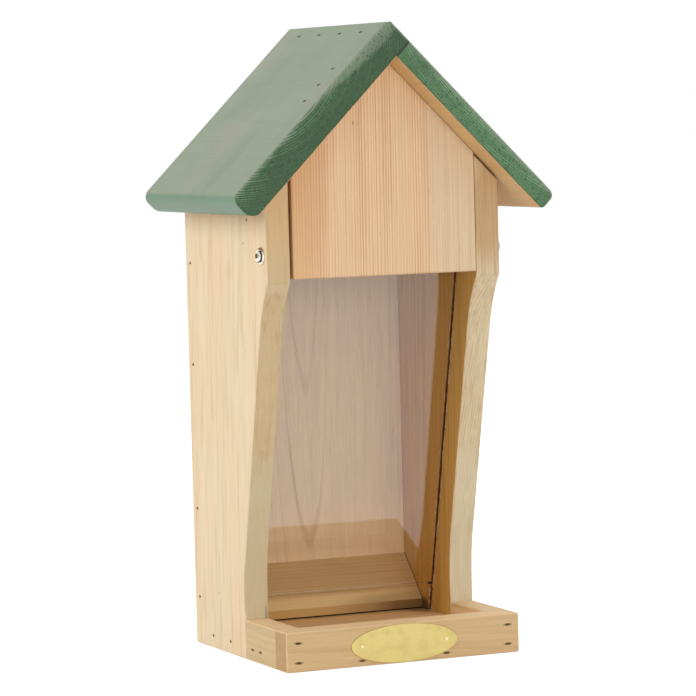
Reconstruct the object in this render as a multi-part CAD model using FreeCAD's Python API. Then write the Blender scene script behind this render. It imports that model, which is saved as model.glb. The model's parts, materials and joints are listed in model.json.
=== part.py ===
import FreeCAD, Part
import math
import os

# Bird feeding house: a narrow wooden seed hopper with a clear slanting pane, a feeding tray at its foot,
# and a gabled roof that tilts forward on two side screws for filling.
# Millimetres. X runs to the right, Y to the back, Z up. The origin is on the ground, in the house's middle.

# Overall sizes
HOUSE_WIDTH = 160.0            # over the outer faces of the side panels
HOUSE_DEPTH = 154.0            # front face of the tray to the back of the house
RIDGE_HEIGHT = 400.0           # ground to the flat of the ridge

# Board thicknesses
BOARD = 16.0                   # side panels, back, floor, gable and tray sides
TRAY_FRONT_BOARD = 18.0
LEFT_ROOF_BOARD = 18.8
RIGHT_ROOF_BOARD = 14.7
EASED_EDGE = 0.7               # width of the sanded arrises

# Roof
ROOF_PITCH = 45.0              # degrees; at 45 the two boards meet square at the ridge
RIDGE_FLAT = 4.2               # width of the flat that is planed along the ridge
LEFT_EAVE_OVERHANG = 29.0      # outer face of the side panel to the unrounded eave corner
RIGHT_EAVE_OVERHANG = 31.5
ROOF_FRONT_OVERHANG = 4.0      # in front of the tray front
ROUNDED_EDGE = 6.0             # radius along the front and eave edges, top side
LEFT_EAVE_UNDER_EDGE = 8.5     # radius along the eave, under side
RIGHT_EAVE_UNDER_EDGE = 3.0
LID_REST_GAP = 0.3             # roof to the top of the back board
LID_SWING_GAP = 1.2            # roof to the tops of the side panels

# Side panel outline
GABLE_SETBACK = 15.5           # tray front to the gable face and the upper front edge of the panels
FOOT_SETBACK = 67.0            # tray front to the front edge of a panel's foot
UPPER_EDGE_HEIGHT = 53.5       # straight upper front edge, from the left panel's outer top corner to the kink
WAIST_TOP_DROP = 33.0          # kink to the top of the straight taper
WAIST_TOP_SETBACK = 15.5       # upper front edge to the top of the straight taper
WAIST_FOOT_RISE = 45.0         # tray top to the lower end of the straight taper
WAIST_FOOT_ADVANCE = 3.0       # lower end of the taper, in front of the foot
WAIST_TOP_CURVE = 18.0         # length of tangent that rounds the upper end of the taper
WAIST_FOOT_CURVE = 22.0        # length of tangent that rounds the lower end of the taper

# Tray and seed ramp
TRAY_HEIGHT = 25.0
RAMP_DEPTH = 28.0              # back board to the ramp's nose
RAMP_NOSE = 5.5                # height of the upright front face
RAMP_PITCH = 45.0
RAMP_FLOOR_GAP = 1.0

# Pane and its kerfs
PANE = 2.0                     # sheet thickness
KERF_PLAY = 0.5                # each face of the pane to the kerf's wall
KERF_DEPTH = 4.0
KERF_RUNOUT = 30.0             # length that the saw runs on above the panel
PANE_SIDE_PLAY = 0.5           # pane edge to the bottom of its kerf
KERF_TOP_SETBACK = 0.3         # back of the gable to the kerf's middle, at the top of the panels
KERF_FOOT_ADVANCE = 10.2       # kerf's middle at the floor, in front of the ramp's nose
SEED_GAP = 19.5                # floor to the lower edge of the pane
PANE_HEADROOM = 23.0           # upper edge of the pane to the left roof board
STOP_PIN_RADIUS = 1.0
STOP_PIN_GRIP = 8.0            # length in the wood
STOP_PIN_REACH = 3.0           # length inside the house
STOP_PIN_GAP = 0.3

# Lid pivot: a countersunk screw in a cup washer on each side
GABLE_SIDE_GAP = 1.3           # gable to each side panel, if it hung in the middle
GABLE_SHIFT = 1.0              # middle of the gable to the right of the house's middle
GABLE_BOTTOM_RISE = 2.0        # kink to the gable's lower edge
PIVOT_RISE = 15.0              # gable's lower edge to the screws
SCREW_RADIUS = 2.0
SCREW_RUNNING_GAP = 0.05       # screw in the side panel
SCREW_GRIP = 22.0              # length in the gable
SCREW_POINT = 5.0
SCREW_DOME = 0.9
HEAD_SEAT_GAP = 0.12           # head to washer, along the radius
WASHER_RADIUS = 5.65
WASHER_HEIGHT = 2.1
WASHER_RIM = 0.25              # width of the flat rim round the seat
WASHER_HOLE_GAP = 0.3
WASHER_BASE = 0.3              # height of the hole's straight wall
WASHER_SIDE = 0.5              # height of the upright outer wall

# Oval plate on the tray front
PLATE_WIDTH = 73.0
PLATE_MARGIN = 0.4             # plate to the upper and lower edges of the tray front
PLATE = 0.8                    # metal thickness
PLATE_PIN_SPACING = 58.0
PLATE_PIN_RADIUS = 0.7
PLATE_PIN_HEAD_RADIUS = 1.2
PLATE_PIN_HEAD_HEIGHT = 0.4
PLATE_PIN_BEVEL = 0.25
PLATE_PIN_LENGTH = 9.0

# Brads: flat wire with a T head and a chisel point
BRAD_WIDTH = 1.6
BRAD_THICKNESS = 1.4
BRAD_HEAD_WIDTH = 3.0
BRAD_HEAD = 0.9
BRAD_POINT = 2.5
BRAD_LENGTH = 34.0
BACK_BRAD_RISES = (31.0, 89.0)         # above the ground
BACK_BRAD_DROPS = (44.5, 110.5)        # below the left panel's outer top corner
FLOOR_BRAD_BACK = 30.5                 # back of the house to the rear brad
FLOOR_BRAD_FRONT = 26.5                # front edge of the foot to the front brad
TRAY_SIDE_BRAD_PLACES = (11.0, 24.0)   # in front of the foot
TRAY_SIDE_BRAD_HEIGHT = 7.4
TRAY_CORNER_BRAD_HEIGHTS = (5.7, 18.0)
TRAY_FRONT_BRAD_SPACING = 58.0
TRAY_FRONT_BRAD_HEIGHT = 3.6
RAMP_BRAD_SPACING = 70.0
RAMP_BRAD_RISE = 13.0                  # above the floor
RIDGE_BRAD_COUNT = 4
RIDGE_BRAD_FIRST = 30.4                # from the roof's front edge
RIDGE_BRAD_LAST = 28.7                 # from the roof's back edge
RIDGE_BRAD_DROP = 10.7                 # from the unplaned ridge, down the slope
GABLE_BRAD_COUNT = 3                   # on each slope
GABLE_BRAD_SPACING = 9.8               # measured level
GABLE_BRAD_EDGE = 26.3                 # outer end of the gable's slope to the outermost brad, measured level
GABLE_BRAD_INSET = 4.0                 # behind the gable's front face

# Hanging hole in the back board
HANGING_HOLE_RADIUS = 4.0
HANGING_HOLE_DROP = 70.0               # below the ridge

# Directions
vector = FreeCAD.Vector
RIGHTWARD = vector(1, 0, 0)
LEFTWARD = vector(-1, 0, 0)
BACKWARD = vector(0, 1, 0)
FORWARD = vector(0, -1, 0)

# Places worked out from the sizes
pitch = math.radians(ROOF_PITCH)
roof_depth = HOUSE_DEPTH + ROOF_FRONT_OVERHANG
back_y = roof_depth / 2
roof_front_y = -roof_depth / 2
tray_front_y = back_y - HOUSE_DEPTH
tray_inner_y = tray_front_y + TRAY_FRONT_BOARD
gable_front_y = tray_front_y + GABLE_SETBACK
gable_middle_y = gable_front_y + BOARD / 2
gable_back_y = gable_front_y + BOARD
foot_y = tray_front_y + FOOT_SETBACK
back_inner_y = back_y - BOARD
outer_x = HOUSE_WIDTH / 2
inner_x = outer_x - BOARD
side_middle_x = outer_x - BOARD / 2
left_eave_x = outer_x + LEFT_EAVE_OVERHANG
right_eave_x = outer_x + RIGHT_EAVE_OVERHANG
ridge_peak = RIDGE_HEIGHT + RIDGE_FLAT / 2 * math.tan(pitch)
left_underside_peak = ridge_peak - LEFT_ROOF_BOARD / math.cos(pitch)
right_underside_peak = ridge_peak - RIGHT_ROOF_BOARD / math.cos(pitch)
inner_peak_x = (right_underside_peak - left_underside_peak) / (2 * math.tan(pitch))
ramp_nose_y = back_inner_y - RAMP_DEPTH
plate_height = TRAY_HEIGHT - 2 * PLATE_MARGIN


def roof_top(x):
    """Height of the roof's upper face at a distance x from the ridge."""
    return ridge_peak - abs(x) * math.tan(pitch)


def roof_underside(x, gap=0.0):
    """Height of the roof's under face at x, lowered square to it by a gap."""
    left = left_underside_peak + x * math.tan(pitch)
    right = right_underside_peak - x * math.tan(pitch)
    return min(left, right) - gap / math.cos(pitch)


panel_top_z = roof_underside(-outer_x, LID_SWING_GAP)
kink_z = panel_top_z - UPPER_EDGE_HEIGHT
gable_bottom_z = kink_z + GABLE_BOTTOM_RISE
pivot_z = gable_bottom_z + PIVOT_RISE
gable_half_width = inner_x - GABLE_SIDE_GAP

# The kerf's middle line, from the floor to the top of the left panel's inner face
kerf_foot = vector(0, ramp_nose_y - KERF_FOOT_ADVANCE, BOARD)
kerf_top = vector(0, gable_back_y + KERF_TOP_SETBACK, roof_underside(-inner_x, LID_SWING_GAP))
pane_up = (kerf_top - kerf_foot).normalize()
pane_back = vector(0, pane_up.z, -pane_up.y)
pane_half_width = inner_x + KERF_DEPTH - PANE_SIDE_PLAY


def box(x_range, y_range, z_range):
    """A box between two values on each axis."""
    corner = vector(x_range[0], y_range[0], z_range[0])
    sides = [high - low for low, high in (x_range, y_range, z_range)]
    return Part.makeBox(*sides, corner)


def prism(points, sweep):
    """A closed outline of corner points, swept along a vector."""
    outline = Part.makePolygon(list(points) + [points[0]])
    return Part.Face(outline).extrude(sweep)


def revolve(edges, start, axis):
    """Turn a closed outline about an axis that begins at start. X is its radius, Z runs along the axis."""
    solid = Part.Face(Part.Wire(edges)).revolve(vector(0, 0, 0), vector(0, 0, 1), 360)
    solid.Placement = FreeCAD.Placement(start, FreeCAD.Rotation(vector(0, 0, 1), axis))
    return solid


def straight(profile):
    """Straight edges of an outline for revolve, through (radius, distance along the axis) points."""
    return Part.makePolygon([vector(radius, 0, along) for radius, along in profile]).Edges


def dome(rim, along, height):
    """The curved edge of an outline for revolve: a round cap from its rim up to its middle."""
    ball = (rim ** 2 + height ** 2) / (2 * height)
    half_angle = math.asin(rim / ball) / 2
    middle_height = height - ball * (1 - math.cos(half_angle))
    middle = vector(ball * math.sin(half_angle), 0, along + middle_height)
    return Part.Arc(vector(rim, 0, along), middle, vector(0, 0, along + height)).toShape()


def eased(solid):
    """Break every arris of a board."""
    return solid.makeChamfer(EASED_EDGE, solid.Edges)


def edges_at(solid, middles):
    """The edges of a solid whose middle points are the given ones."""
    found = []
    for middle in middles:
        found.append(min(solid.Edges, key=lambda edge: (edge.CenterOfMass - middle).Length))
    return found


def mirrored(shape):
    """The same shape on the other side of the house."""
    return shape.mirror(vector(0, 0, 0), vector(1, 0, 0))


def under_roof(gap):
    """Everything under the two roof slopes, with a gap square to them."""
    points = [
        vector(-left_eave_x, roof_front_y, 0),
        vector(right_eave_x, roof_front_y, 0),
        vector(right_eave_x, roof_front_y, roof_underside(right_eave_x, gap)),
        vector(inner_peak_x, roof_front_y, roof_underside(inner_peak_x, gap)),
        vector(-left_eave_x, roof_front_y, roof_underside(-left_eave_x, gap)),
    ]
    return prism(points, vector(0, roof_depth, 0))


def brad(start, direction, across):
    """A brad driven flush at start, with its head's long side lying across."""
    half_head = BRAD_HEAD_WIDTH / 2
    half_shank = BRAD_WIDTH / 2
    profile = [
        (half_head, 0),
        (half_head, BRAD_HEAD),
        (half_shank, BRAD_HEAD),
        (half_shank, BRAD_LENGTH - BRAD_POINT),
    ]
    right_half = [start + across * out + direction * along for out, along in profile]
    left_half = [start - across * out + direction * along for out, along in reversed(profile)]
    points = right_half + [start + direction * BRAD_LENGTH] + left_half
    thickness = direction.cross(across) * BRAD_THICKNESS
    return prism([point - thickness / 2 for point in points], thickness)


# Boards before their holes are cut

def waist_outline():
    """Outline of a side panel seen from the side, up to the height of the ridge."""
    foot = vector(0, foot_y, TRAY_HEIGHT)
    kink = vector(0, gable_front_y, kink_z)
    taper_top = vector(0, gable_front_y + WAIST_TOP_SETBACK, kink_z - WAIST_TOP_DROP)
    taper_foot = vector(0, foot_y - WAIST_FOOT_ADVANCE, TRAY_HEIGHT + WAIST_FOOT_RISE)
    taper = (taper_top - taper_foot).normalize()
    foot_curve = Part.BezierCurve()
    foot_curve.setPoles([foot, taper_foot - taper * WAIST_FOOT_CURVE, taper_foot])
    top_curve = Part.BezierCurve()
    top_curve.setPoles([taper_top, taper_top + taper * WAIST_TOP_CURVE, kink])
    front_top = vector(0, gable_front_y, RIDGE_HEIGHT)
    back_top = vector(0, back_y, RIDGE_HEIGHT)
    back_foot = vector(0, back_y, 0)
    front_foot = vector(0, foot_y, 0)
    return Part.Wire([
        Part.makeLine(front_foot, foot),
        foot_curve.toShape(),
        Part.makeLine(taper_foot, taper_top),
        top_curve.toShape(),
        Part.makeLine(kink, front_top),
        Part.makeLine(front_top, back_top),
        Part.makeLine(back_top, back_foot),
        Part.makeLine(back_foot, front_foot),
    ])


def kerf():
    """The saw cut for the pane in the right panel, open at the top and stopped at the floor."""
    half = pane_back * (PANE / 2 + KERF_PLAY)
    top = kerf_top + pane_up * KERF_RUNOUT
    start = vector(inner_x, 0, 0)
    points = [
        kerf_foot - half + start,
        kerf_foot + half + start,
        top + half + start,
        top - half + start,
    ]
    return prism(points, RIGHTWARD * KERF_DEPTH)


def side_panels():
    """The left and right side panels, each cut to its own roof slope, with their kerfs and pivot holes."""
    blank = Part.Face(waist_outline()).extrude(RIGHTWARD * BOARD)
    blank.translate(RIGHTWARD * inner_x)
    hole_start = vector(inner_x, gable_middle_y, pivot_z)
    pivot_hole = Part.makeCylinder(SCREW_RADIUS + SCREW_RUNNING_GAP, BOARD, hole_start, RIGHTWARD)
    cuts = [kerf(), pivot_hole]
    roofed = under_roof(LID_SWING_GAP)
    right = eased(blank.common(roofed)).cut(cuts)
    left = eased(mirrored(blank).common(roofed)).cut([mirrored(shape) for shape in cuts])
    return left, right


def back_board():
    """The back of the house, pointed to the roof's slopes, with the hanging hole."""
    board = box((-inner_x, inner_x), (back_inner_y, back_y), (0, RIDGE_HEIGHT))
    board = eased(board.common(under_roof(LID_REST_GAP)))
    hole_start = vector(0, back_inner_y, RIDGE_HEIGHT - HANGING_HOLE_DROP)
    return board.cut(Part.makeCylinder(HANGING_HOLE_RADIUS, BOARD, hole_start, BACKWARD))


def floor_board():
    return eased(box((-inner_x, inner_x), (tray_inner_y, back_inner_y), (0, BOARD)))


def seed_ramp():
    """The wedge that sends the seed forward to the tray."""
    foot_z = BOARD + RAMP_FLOOR_GAP
    nose_z = foot_z + RAMP_NOSE
    back_z = nose_z + RAMP_DEPTH * math.tan(math.radians(RAMP_PITCH))
    points = [
        vector(-inner_x, ramp_nose_y, foot_z),
        vector(-inner_x, ramp_nose_y, nose_z),
        vector(-inner_x, back_inner_y, back_z),
        vector(-inner_x, back_inner_y, foot_z),
    ]
    return prism(points, RIGHTWARD * (2 * inner_x))


def tray_side():
    """The right tray side, which butts on the panel's foot."""
    return eased(box((inner_x, outer_x), (tray_inner_y, foot_y), (0, TRAY_HEIGHT)))


def tray_front():
    return eased(box((-outer_x, outer_x), (tray_front_y, tray_inner_y), (0, TRAY_HEIGHT)))


def gable_board():
    """The front of the lid, pointed to the roof's slopes."""
    sides = (GABLE_SHIFT - gable_half_width, GABLE_SHIFT + gable_half_width)
    board = box(sides, (gable_front_y, gable_back_y), (gable_bottom_z, RIDGE_HEIGHT))
    return eased(board.common(under_roof(0.0)))


def roof_boards():
    """The two roof boards. The left one runs over the right one's top end, and its ridge is planed flat."""
    right_square = vector(math.sin(pitch), 0, math.cos(pitch))
    left_square = vector(-math.sin(pitch), 0, math.cos(pitch))
    front = vector(0, roof_front_y, 0)
    across = vector(0, roof_depth, 0)
    ridge = front + vector(0, 0, ridge_peak)
    seam_foot = front + vector(inner_peak_x, 0, roof_underside(inner_peak_x))
    seam_x = LEFT_ROOF_BOARD / (2 * math.sin(pitch))
    seam_top = front + vector(seam_x, 0, roof_top(seam_x))
    right_eave = front + vector(right_eave_x, 0, roof_top(right_eave_x))
    right_eave_under = right_eave - right_square * RIGHT_ROOF_BOARD
    left_eave = front + vector(-left_eave_x, 0, roof_top(left_eave_x))
    left_eave_under = left_eave - left_square * LEFT_ROOF_BOARD

    right = prism([seam_foot, seam_top, right_eave, right_eave_under], across)
    rounded = edges_at(right, [right_eave + across / 2, (seam_top + right_eave) / 2])
    right = right.makeFillet(ROUNDED_EDGE, rounded)
    right = right.makeFillet(RIGHT_EAVE_UNDER_EDGE, edges_at(right, [right_eave_under + across / 2]))

    left = prism([seam_foot, seam_top, ridge, left_eave, left_eave_under], across)
    rounded = edges_at(left, [left_eave + across / 2, (ridge + left_eave) / 2, (ridge + seam_top) / 2])
    left = left.makeFillet(ROUNDED_EDGE, rounded)
    left = left.makeFillet(LEFT_EAVE_UNDER_EDGE, edges_at(left, [left_eave_under + across / 2]))
    planed = box((-RIDGE_FLAT, RIDGE_FLAT), (roof_front_y, back_y), (RIDGE_HEIGHT, ridge_peak))
    return left.cut(planed), right


# Pane, pivots and plate

def seed_pane():
    """The clear sheet, square at both ends, standing in the kerfs."""
    foot = kerf_foot + pane_up * (SEED_GAP / pane_up.z)
    top_z = roof_underside(-pane_half_width) - PANE_HEADROOM
    length = (top_z - foot.z) / pane_up.z
    half = pane_back * (PANE / 2)
    edge = LEFTWARD * pane_half_width
    points = [
        foot - half + edge,
        foot + half + edge,
        foot + half + pane_up * length + edge,
        foot - half + pane_up * length + edge,
    ]
    return prism(points, RIGHTWARD * (2 * pane_half_width))


def stop_pin():
    """The right brad under the pane, driven into the bottom of the kerf."""
    drop = SEED_GAP / pane_up.z - STOP_PIN_GAP - STOP_PIN_RADIUS
    middle = kerf_foot + pane_up * drop
    start = vector(inner_x - STOP_PIN_REACH, middle.y, middle.z)
    length = STOP_PIN_REACH + KERF_DEPTH + STOP_PIN_GRIP
    return Part.makeCylinder(STOP_PIN_RADIUS, length, start, RIGHTWARD)


def cup_washer():
    """The right cup washer. Its seat is a cone of 45 degrees."""
    hole = SCREW_RADIUS + WASHER_HOLE_GAP
    rim_inside = hole + WASHER_HEIGHT - WASHER_BASE
    profile = [
        (hole, 0),
        (WASHER_RADIUS, 0),
        (WASHER_RADIUS, WASHER_SIDE),
        (rim_inside + WASHER_RIM, WASHER_HEIGHT),
        (rim_inside, WASHER_HEIGHT),
        (hole, WASHER_BASE),
        (hole, 0),
    ]
    return revolve(straight(profile), vector(outer_x, gable_middle_y, pivot_z), RIGHTWARD)


def pivot_screw():
    """The right pivot screw: a smooth shank through the side panel and a point in the gable."""
    seat_foot = WASHER_BASE - WASHER_HOLE_GAP + HEAD_SEAT_GAP
    head_radius = SCREW_RADIUS + WASHER_HEIGHT - seat_foot
    grip_end = -(BOARD + GABLE_SIDE_GAP + SCREW_GRIP)
    profile = [
        (0, WASHER_HEIGHT + SCREW_DOME),
        (0, grip_end),
        (SCREW_RADIUS, grip_end + SCREW_POINT),
        (SCREW_RADIUS, seat_foot),
        (head_radius, WASHER_HEIGHT),
    ]
    outline = straight(profile) + [dome(head_radius, WASHER_HEIGHT, SCREW_DOME)]
    return revolve(outline, vector(outer_x, gable_middle_y, pivot_z), RIGHTWARD)


def oval_plate():
    """A thin blank plate on the tray front."""
    middle = vector(0, tray_front_y, TRAY_HEIGHT / 2)
    right_end = middle + RIGHTWARD * (PLATE_WIDTH / 2)
    upper_end = middle + vector(0, 0, plate_height / 2)
    oval = Part.Ellipse(right_end, upper_end, middle)
    return Part.Face(Part.Wire(oval.toShape())).extrude(FORWARD * PLATE)


def plate_pin(x):
    """A pin with a bevelled head, through the plate into the tray front."""
    profile = [
        (0, PLATE_PIN_HEAD_HEIGHT),
        (0, -PLATE_PIN_LENGTH),
        (PLATE_PIN_RADIUS, -PLATE_PIN_LENGTH),
        (PLATE_PIN_RADIUS, 0),
        (PLATE_PIN_HEAD_RADIUS, 0),
        (PLATE_PIN_HEAD_RADIUS, PLATE_PIN_HEAD_HEIGHT - PLATE_PIN_BEVEL),
        (PLATE_PIN_HEAD_RADIUS - PLATE_PIN_BEVEL, PLATE_PIN_HEAD_HEIGHT),
        (0, PLATE_PIN_HEAD_HEIGHT),
    ]
    return revolve(straight(profile), vector(x, tray_front_y - PLATE, TRAY_HEIGHT / 2), FORWARD)


# Brads, by the joint that they hold

def both_sides(right_shapes):
    """The shapes of the right side with their mirror images."""
    return right_shapes + [mirrored(shape) for shape in right_shapes]


def back_brads():
    heights = list(BACK_BRAD_RISES) + [panel_top_z - drop for drop in BACK_BRAD_DROPS]
    places = [vector(outer_x, back_y - BOARD / 2, height) for height in heights]
    return both_sides([brad(place, LEFTWARD, BACKWARD) for place in places])


def floor_brads():
    rear = vector(outer_x, back_y - FLOOR_BRAD_BACK, BOARD / 2)
    front = vector(outer_x, foot_y + FLOOR_BRAD_FRONT, BOARD / 2)
    return both_sides([brad(rear, LEFTWARD, BACKWARD), brad(front, LEFTWARD, BACKWARD)])


def tray_side_brads():
    places = [vector(outer_x, foot_y - place, TRAY_SIDE_BRAD_HEIGHT) for place in TRAY_SIDE_BRAD_PLACES]
    return both_sides([brad(place, LEFTWARD, BACKWARD) for place in places])


def tray_corner_brads():
    places = [vector(side_middle_x, tray_front_y, height) for height in TRAY_CORNER_BRAD_HEIGHTS]
    return both_sides([brad(place, BACKWARD, LEFTWARD) for place in places])


def tray_front_brads():
    place = vector(TRAY_FRONT_BRAD_SPACING / 2, tray_front_y, TRAY_FRONT_BRAD_HEIGHT)
    return both_sides([brad(place, BACKWARD, LEFTWARD)])


def ramp_brads():
    place = vector(RAMP_BRAD_SPACING / 2, back_y, BOARD + RAMP_BRAD_RISE)
    return both_sides([brad(place, FORWARD, LEFTWARD)])


def ridge_brads():
    """Through the left roof board into the right board's end."""
    x = -RIDGE_BRAD_DROP * math.cos(pitch)
    inward = vector(math.sin(pitch), 0, -math.cos(pitch))
    first = roof_front_y + RIDGE_BRAD_FIRST
    spacing = (back_y - RIDGE_BRAD_LAST - first) / (RIDGE_BRAD_COUNT - 1)
    places = [vector(x, first + spacing * index, roof_top(x)) for index in range(RIDGE_BRAD_COUNT)]
    return [brad(place, inward, BACKWARD) for place in places]


def gable_brads():
    """Square through the roof boards into the sloping edges of the gable."""
    inward = vector(-math.sin(pitch), 0, -math.cos(pitch))
    outermost = gable_half_width + LEFT_ROOF_BOARD * math.sin(pitch) - GABLE_BRAD_EDGE
    distances = [outermost - GABLE_BRAD_SPACING * index for index in range(GABLE_BRAD_COUNT)]
    places = [vector(x, gable_front_y + GABLE_BRAD_INSET, roof_top(x)) for x in distances]
    return both_sides([brad(place, inward, BACKWARD) for place in places])


def build():
    """All pieces by node name. A fastener cuts its own hole in the boards that it holds."""
    left_panel, right_panel = side_panels()
    right_tray = tray_side()
    left_roof, right_roof = roof_boards()
    boards = {
        "left_side_panel": left_panel,
        "right_side_panel": right_panel,
        "back_board": back_board(),
        "floor_board": floor_board(),
        "seed_ramp": seed_ramp(),
        "tray_left_side": mirrored(right_tray),
        "tray_right_side": right_tray,
        "tray_front_board": tray_front(),
        "gable_board": gable_board(),
        "left_roof_board": left_roof,
        "right_roof_board": right_roof,
        "oval_plate": oval_plate(),
    }
    half_spacing = PLATE_PIN_SPACING / 2
    pins = [plate_pin(-half_spacing), plate_pin(half_spacing)]
    right_screw = pivot_screw()
    left_screw = mirrored(right_screw)
    fasteners = {
        "back_brads": (back_brads(), ["left_side_panel", "right_side_panel", "back_board"]),
        "floor_brads": (floor_brads(), ["left_side_panel", "right_side_panel", "floor_board"]),
        "ramp_brads": (ramp_brads(), ["back_board", "seed_ramp"]),
        "tray_side_brads": (tray_side_brads(), ["tray_left_side", "tray_right_side", "floor_board"]),
        "tray_corner_brads": (tray_corner_brads(), ["tray_front_board", "tray_left_side", "tray_right_side"]),
        "tray_front_brads": (tray_front_brads(), ["tray_front_board", "floor_board"]),
        "ridge_brads": (ridge_brads(), ["left_roof_board", "right_roof_board"]),
        "gable_brads": (gable_brads(), ["left_roof_board", "right_roof_board", "gable_board"]),
        "pane_stop_pins": (both_sides([stop_pin()]), ["left_side_panel", "right_side_panel"]),
        "plate_pins": (pins, ["oval_plate", "tray_front_board"]),
        "left_pivot_screw": ([left_screw], ["gable_board"]),
        "right_pivot_screw": ([right_screw], ["gable_board"]),
    }
    for shapes, held in fasteners.values():
        for name in held:
            boards[name] = boards[name].cut(shapes)

    right_washer = cup_washer()
    pieces = dict(boards)
    pieces["seed_pane"] = seed_pane()
    pieces["right_cup_washer"] = right_washer
    pieces["left_cup_washer"] = mirrored(right_washer)
    for name, (shapes, held) in fasteners.items():
        pieces[name] = shapes[0] if len(shapes) == 1 else Part.makeCompound(shapes)
    return pieces


os.makedirs("parts", exist_ok=True)
for node, shape in build().items():
    shape.exportStep("parts/" + node + ".step")
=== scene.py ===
"""Looks of a bird feeding house.

Softwood boards, a green glazed roof, a clear seed pane and small metal fittings.
"""

import json
import logging
import math
from collections.abc import Callable, Iterable, Sequence
from dataclasses import dataclass, field
from enum import Enum

import bmesh
import bpy
import numpy as np
from mathutils import Matrix, Vector


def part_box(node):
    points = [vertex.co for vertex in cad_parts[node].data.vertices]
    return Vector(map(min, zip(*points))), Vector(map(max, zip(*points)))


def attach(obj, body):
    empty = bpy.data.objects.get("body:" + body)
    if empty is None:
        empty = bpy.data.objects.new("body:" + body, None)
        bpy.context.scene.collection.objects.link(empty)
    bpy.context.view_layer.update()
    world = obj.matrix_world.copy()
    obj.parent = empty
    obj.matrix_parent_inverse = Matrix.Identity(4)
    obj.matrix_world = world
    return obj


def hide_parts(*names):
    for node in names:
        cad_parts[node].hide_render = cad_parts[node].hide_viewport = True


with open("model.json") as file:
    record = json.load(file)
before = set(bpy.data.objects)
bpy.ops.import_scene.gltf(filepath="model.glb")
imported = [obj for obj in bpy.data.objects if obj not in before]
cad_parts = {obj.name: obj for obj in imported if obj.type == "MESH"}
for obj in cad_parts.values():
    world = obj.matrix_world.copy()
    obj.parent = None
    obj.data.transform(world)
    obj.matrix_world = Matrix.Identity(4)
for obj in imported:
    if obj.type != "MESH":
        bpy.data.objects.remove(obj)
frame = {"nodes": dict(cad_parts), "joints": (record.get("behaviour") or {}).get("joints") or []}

LOG = logging.getLogger("feeding_house")

Colour = tuple[float, float, float, float]
Point = tuple[float, float, float]
Profile = Sequence[tuple[float, float]]
Piece = bpy.types.Object
Material = bpy.types.Material
Node = bpy.types.Node
NodeTree = bpy.types.NodeTree
Socket = bpy.types.NodeSocket
Sockets = dict[str, tuple[str, ...]]
Feed = Socket | float | tuple[float, ...]

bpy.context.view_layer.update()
NODES: dict[str, Piece] = frame["nodes"]
MM = 0.001
WHITE: Colour = (1.0, 1.0, 1.0, 1.0)

# Directions in the house's frame
RIGHT: Point = (1, 0, 0)
LEFT: Point = (-1, 0, 0)
BACK: Point = (0, 1, 0)
FRONT: Point = (0, -1, 0)
UP: Point = (0, 0, 1)
DOWN: Point = (0, 0, -1)

# The roof boards: where they look, and how far from the origin their under faces are, in millimetres
SLOPE = math.sqrt(0.5)
LEFT_OUTWARD: Point = (-SLOPE, 0, SLOPE)
LEFT_UNDERSIDE = 265.53
RIGHT_OUTWARD: Point = (SLOPE, 0, SLOPE)
RIGHT_UNDERSIDE = 269.63


def chip(red: int, green: int, blue: int) -> Colour:
    """A colour as a paint chip shows it, turned to the linear values that shaders take.

    Args:
        red, green, blue: Display values from 0 to 255.

    Returns:
        Linear red, green and blue with full alpha.
    """
    linear = []
    for value in (red / 255, green / 255, blue / 255):
        linear.append(value / 12.92 if value <= 0.04045 else ((value + 0.055) / 1.055) ** 2.4)
    return (*linear, 1.0)


def metres(point: Iterable[float]) -> tuple[float, ...]:
    """Millimetres turned to metres."""
    return tuple(value * MM for value in point)


def joint_named(name: str) -> dict[str, object]:
    """The frame's joint of a name."""
    return next(joint for joint in frame["joints"] if joint["name"] == name)


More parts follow.
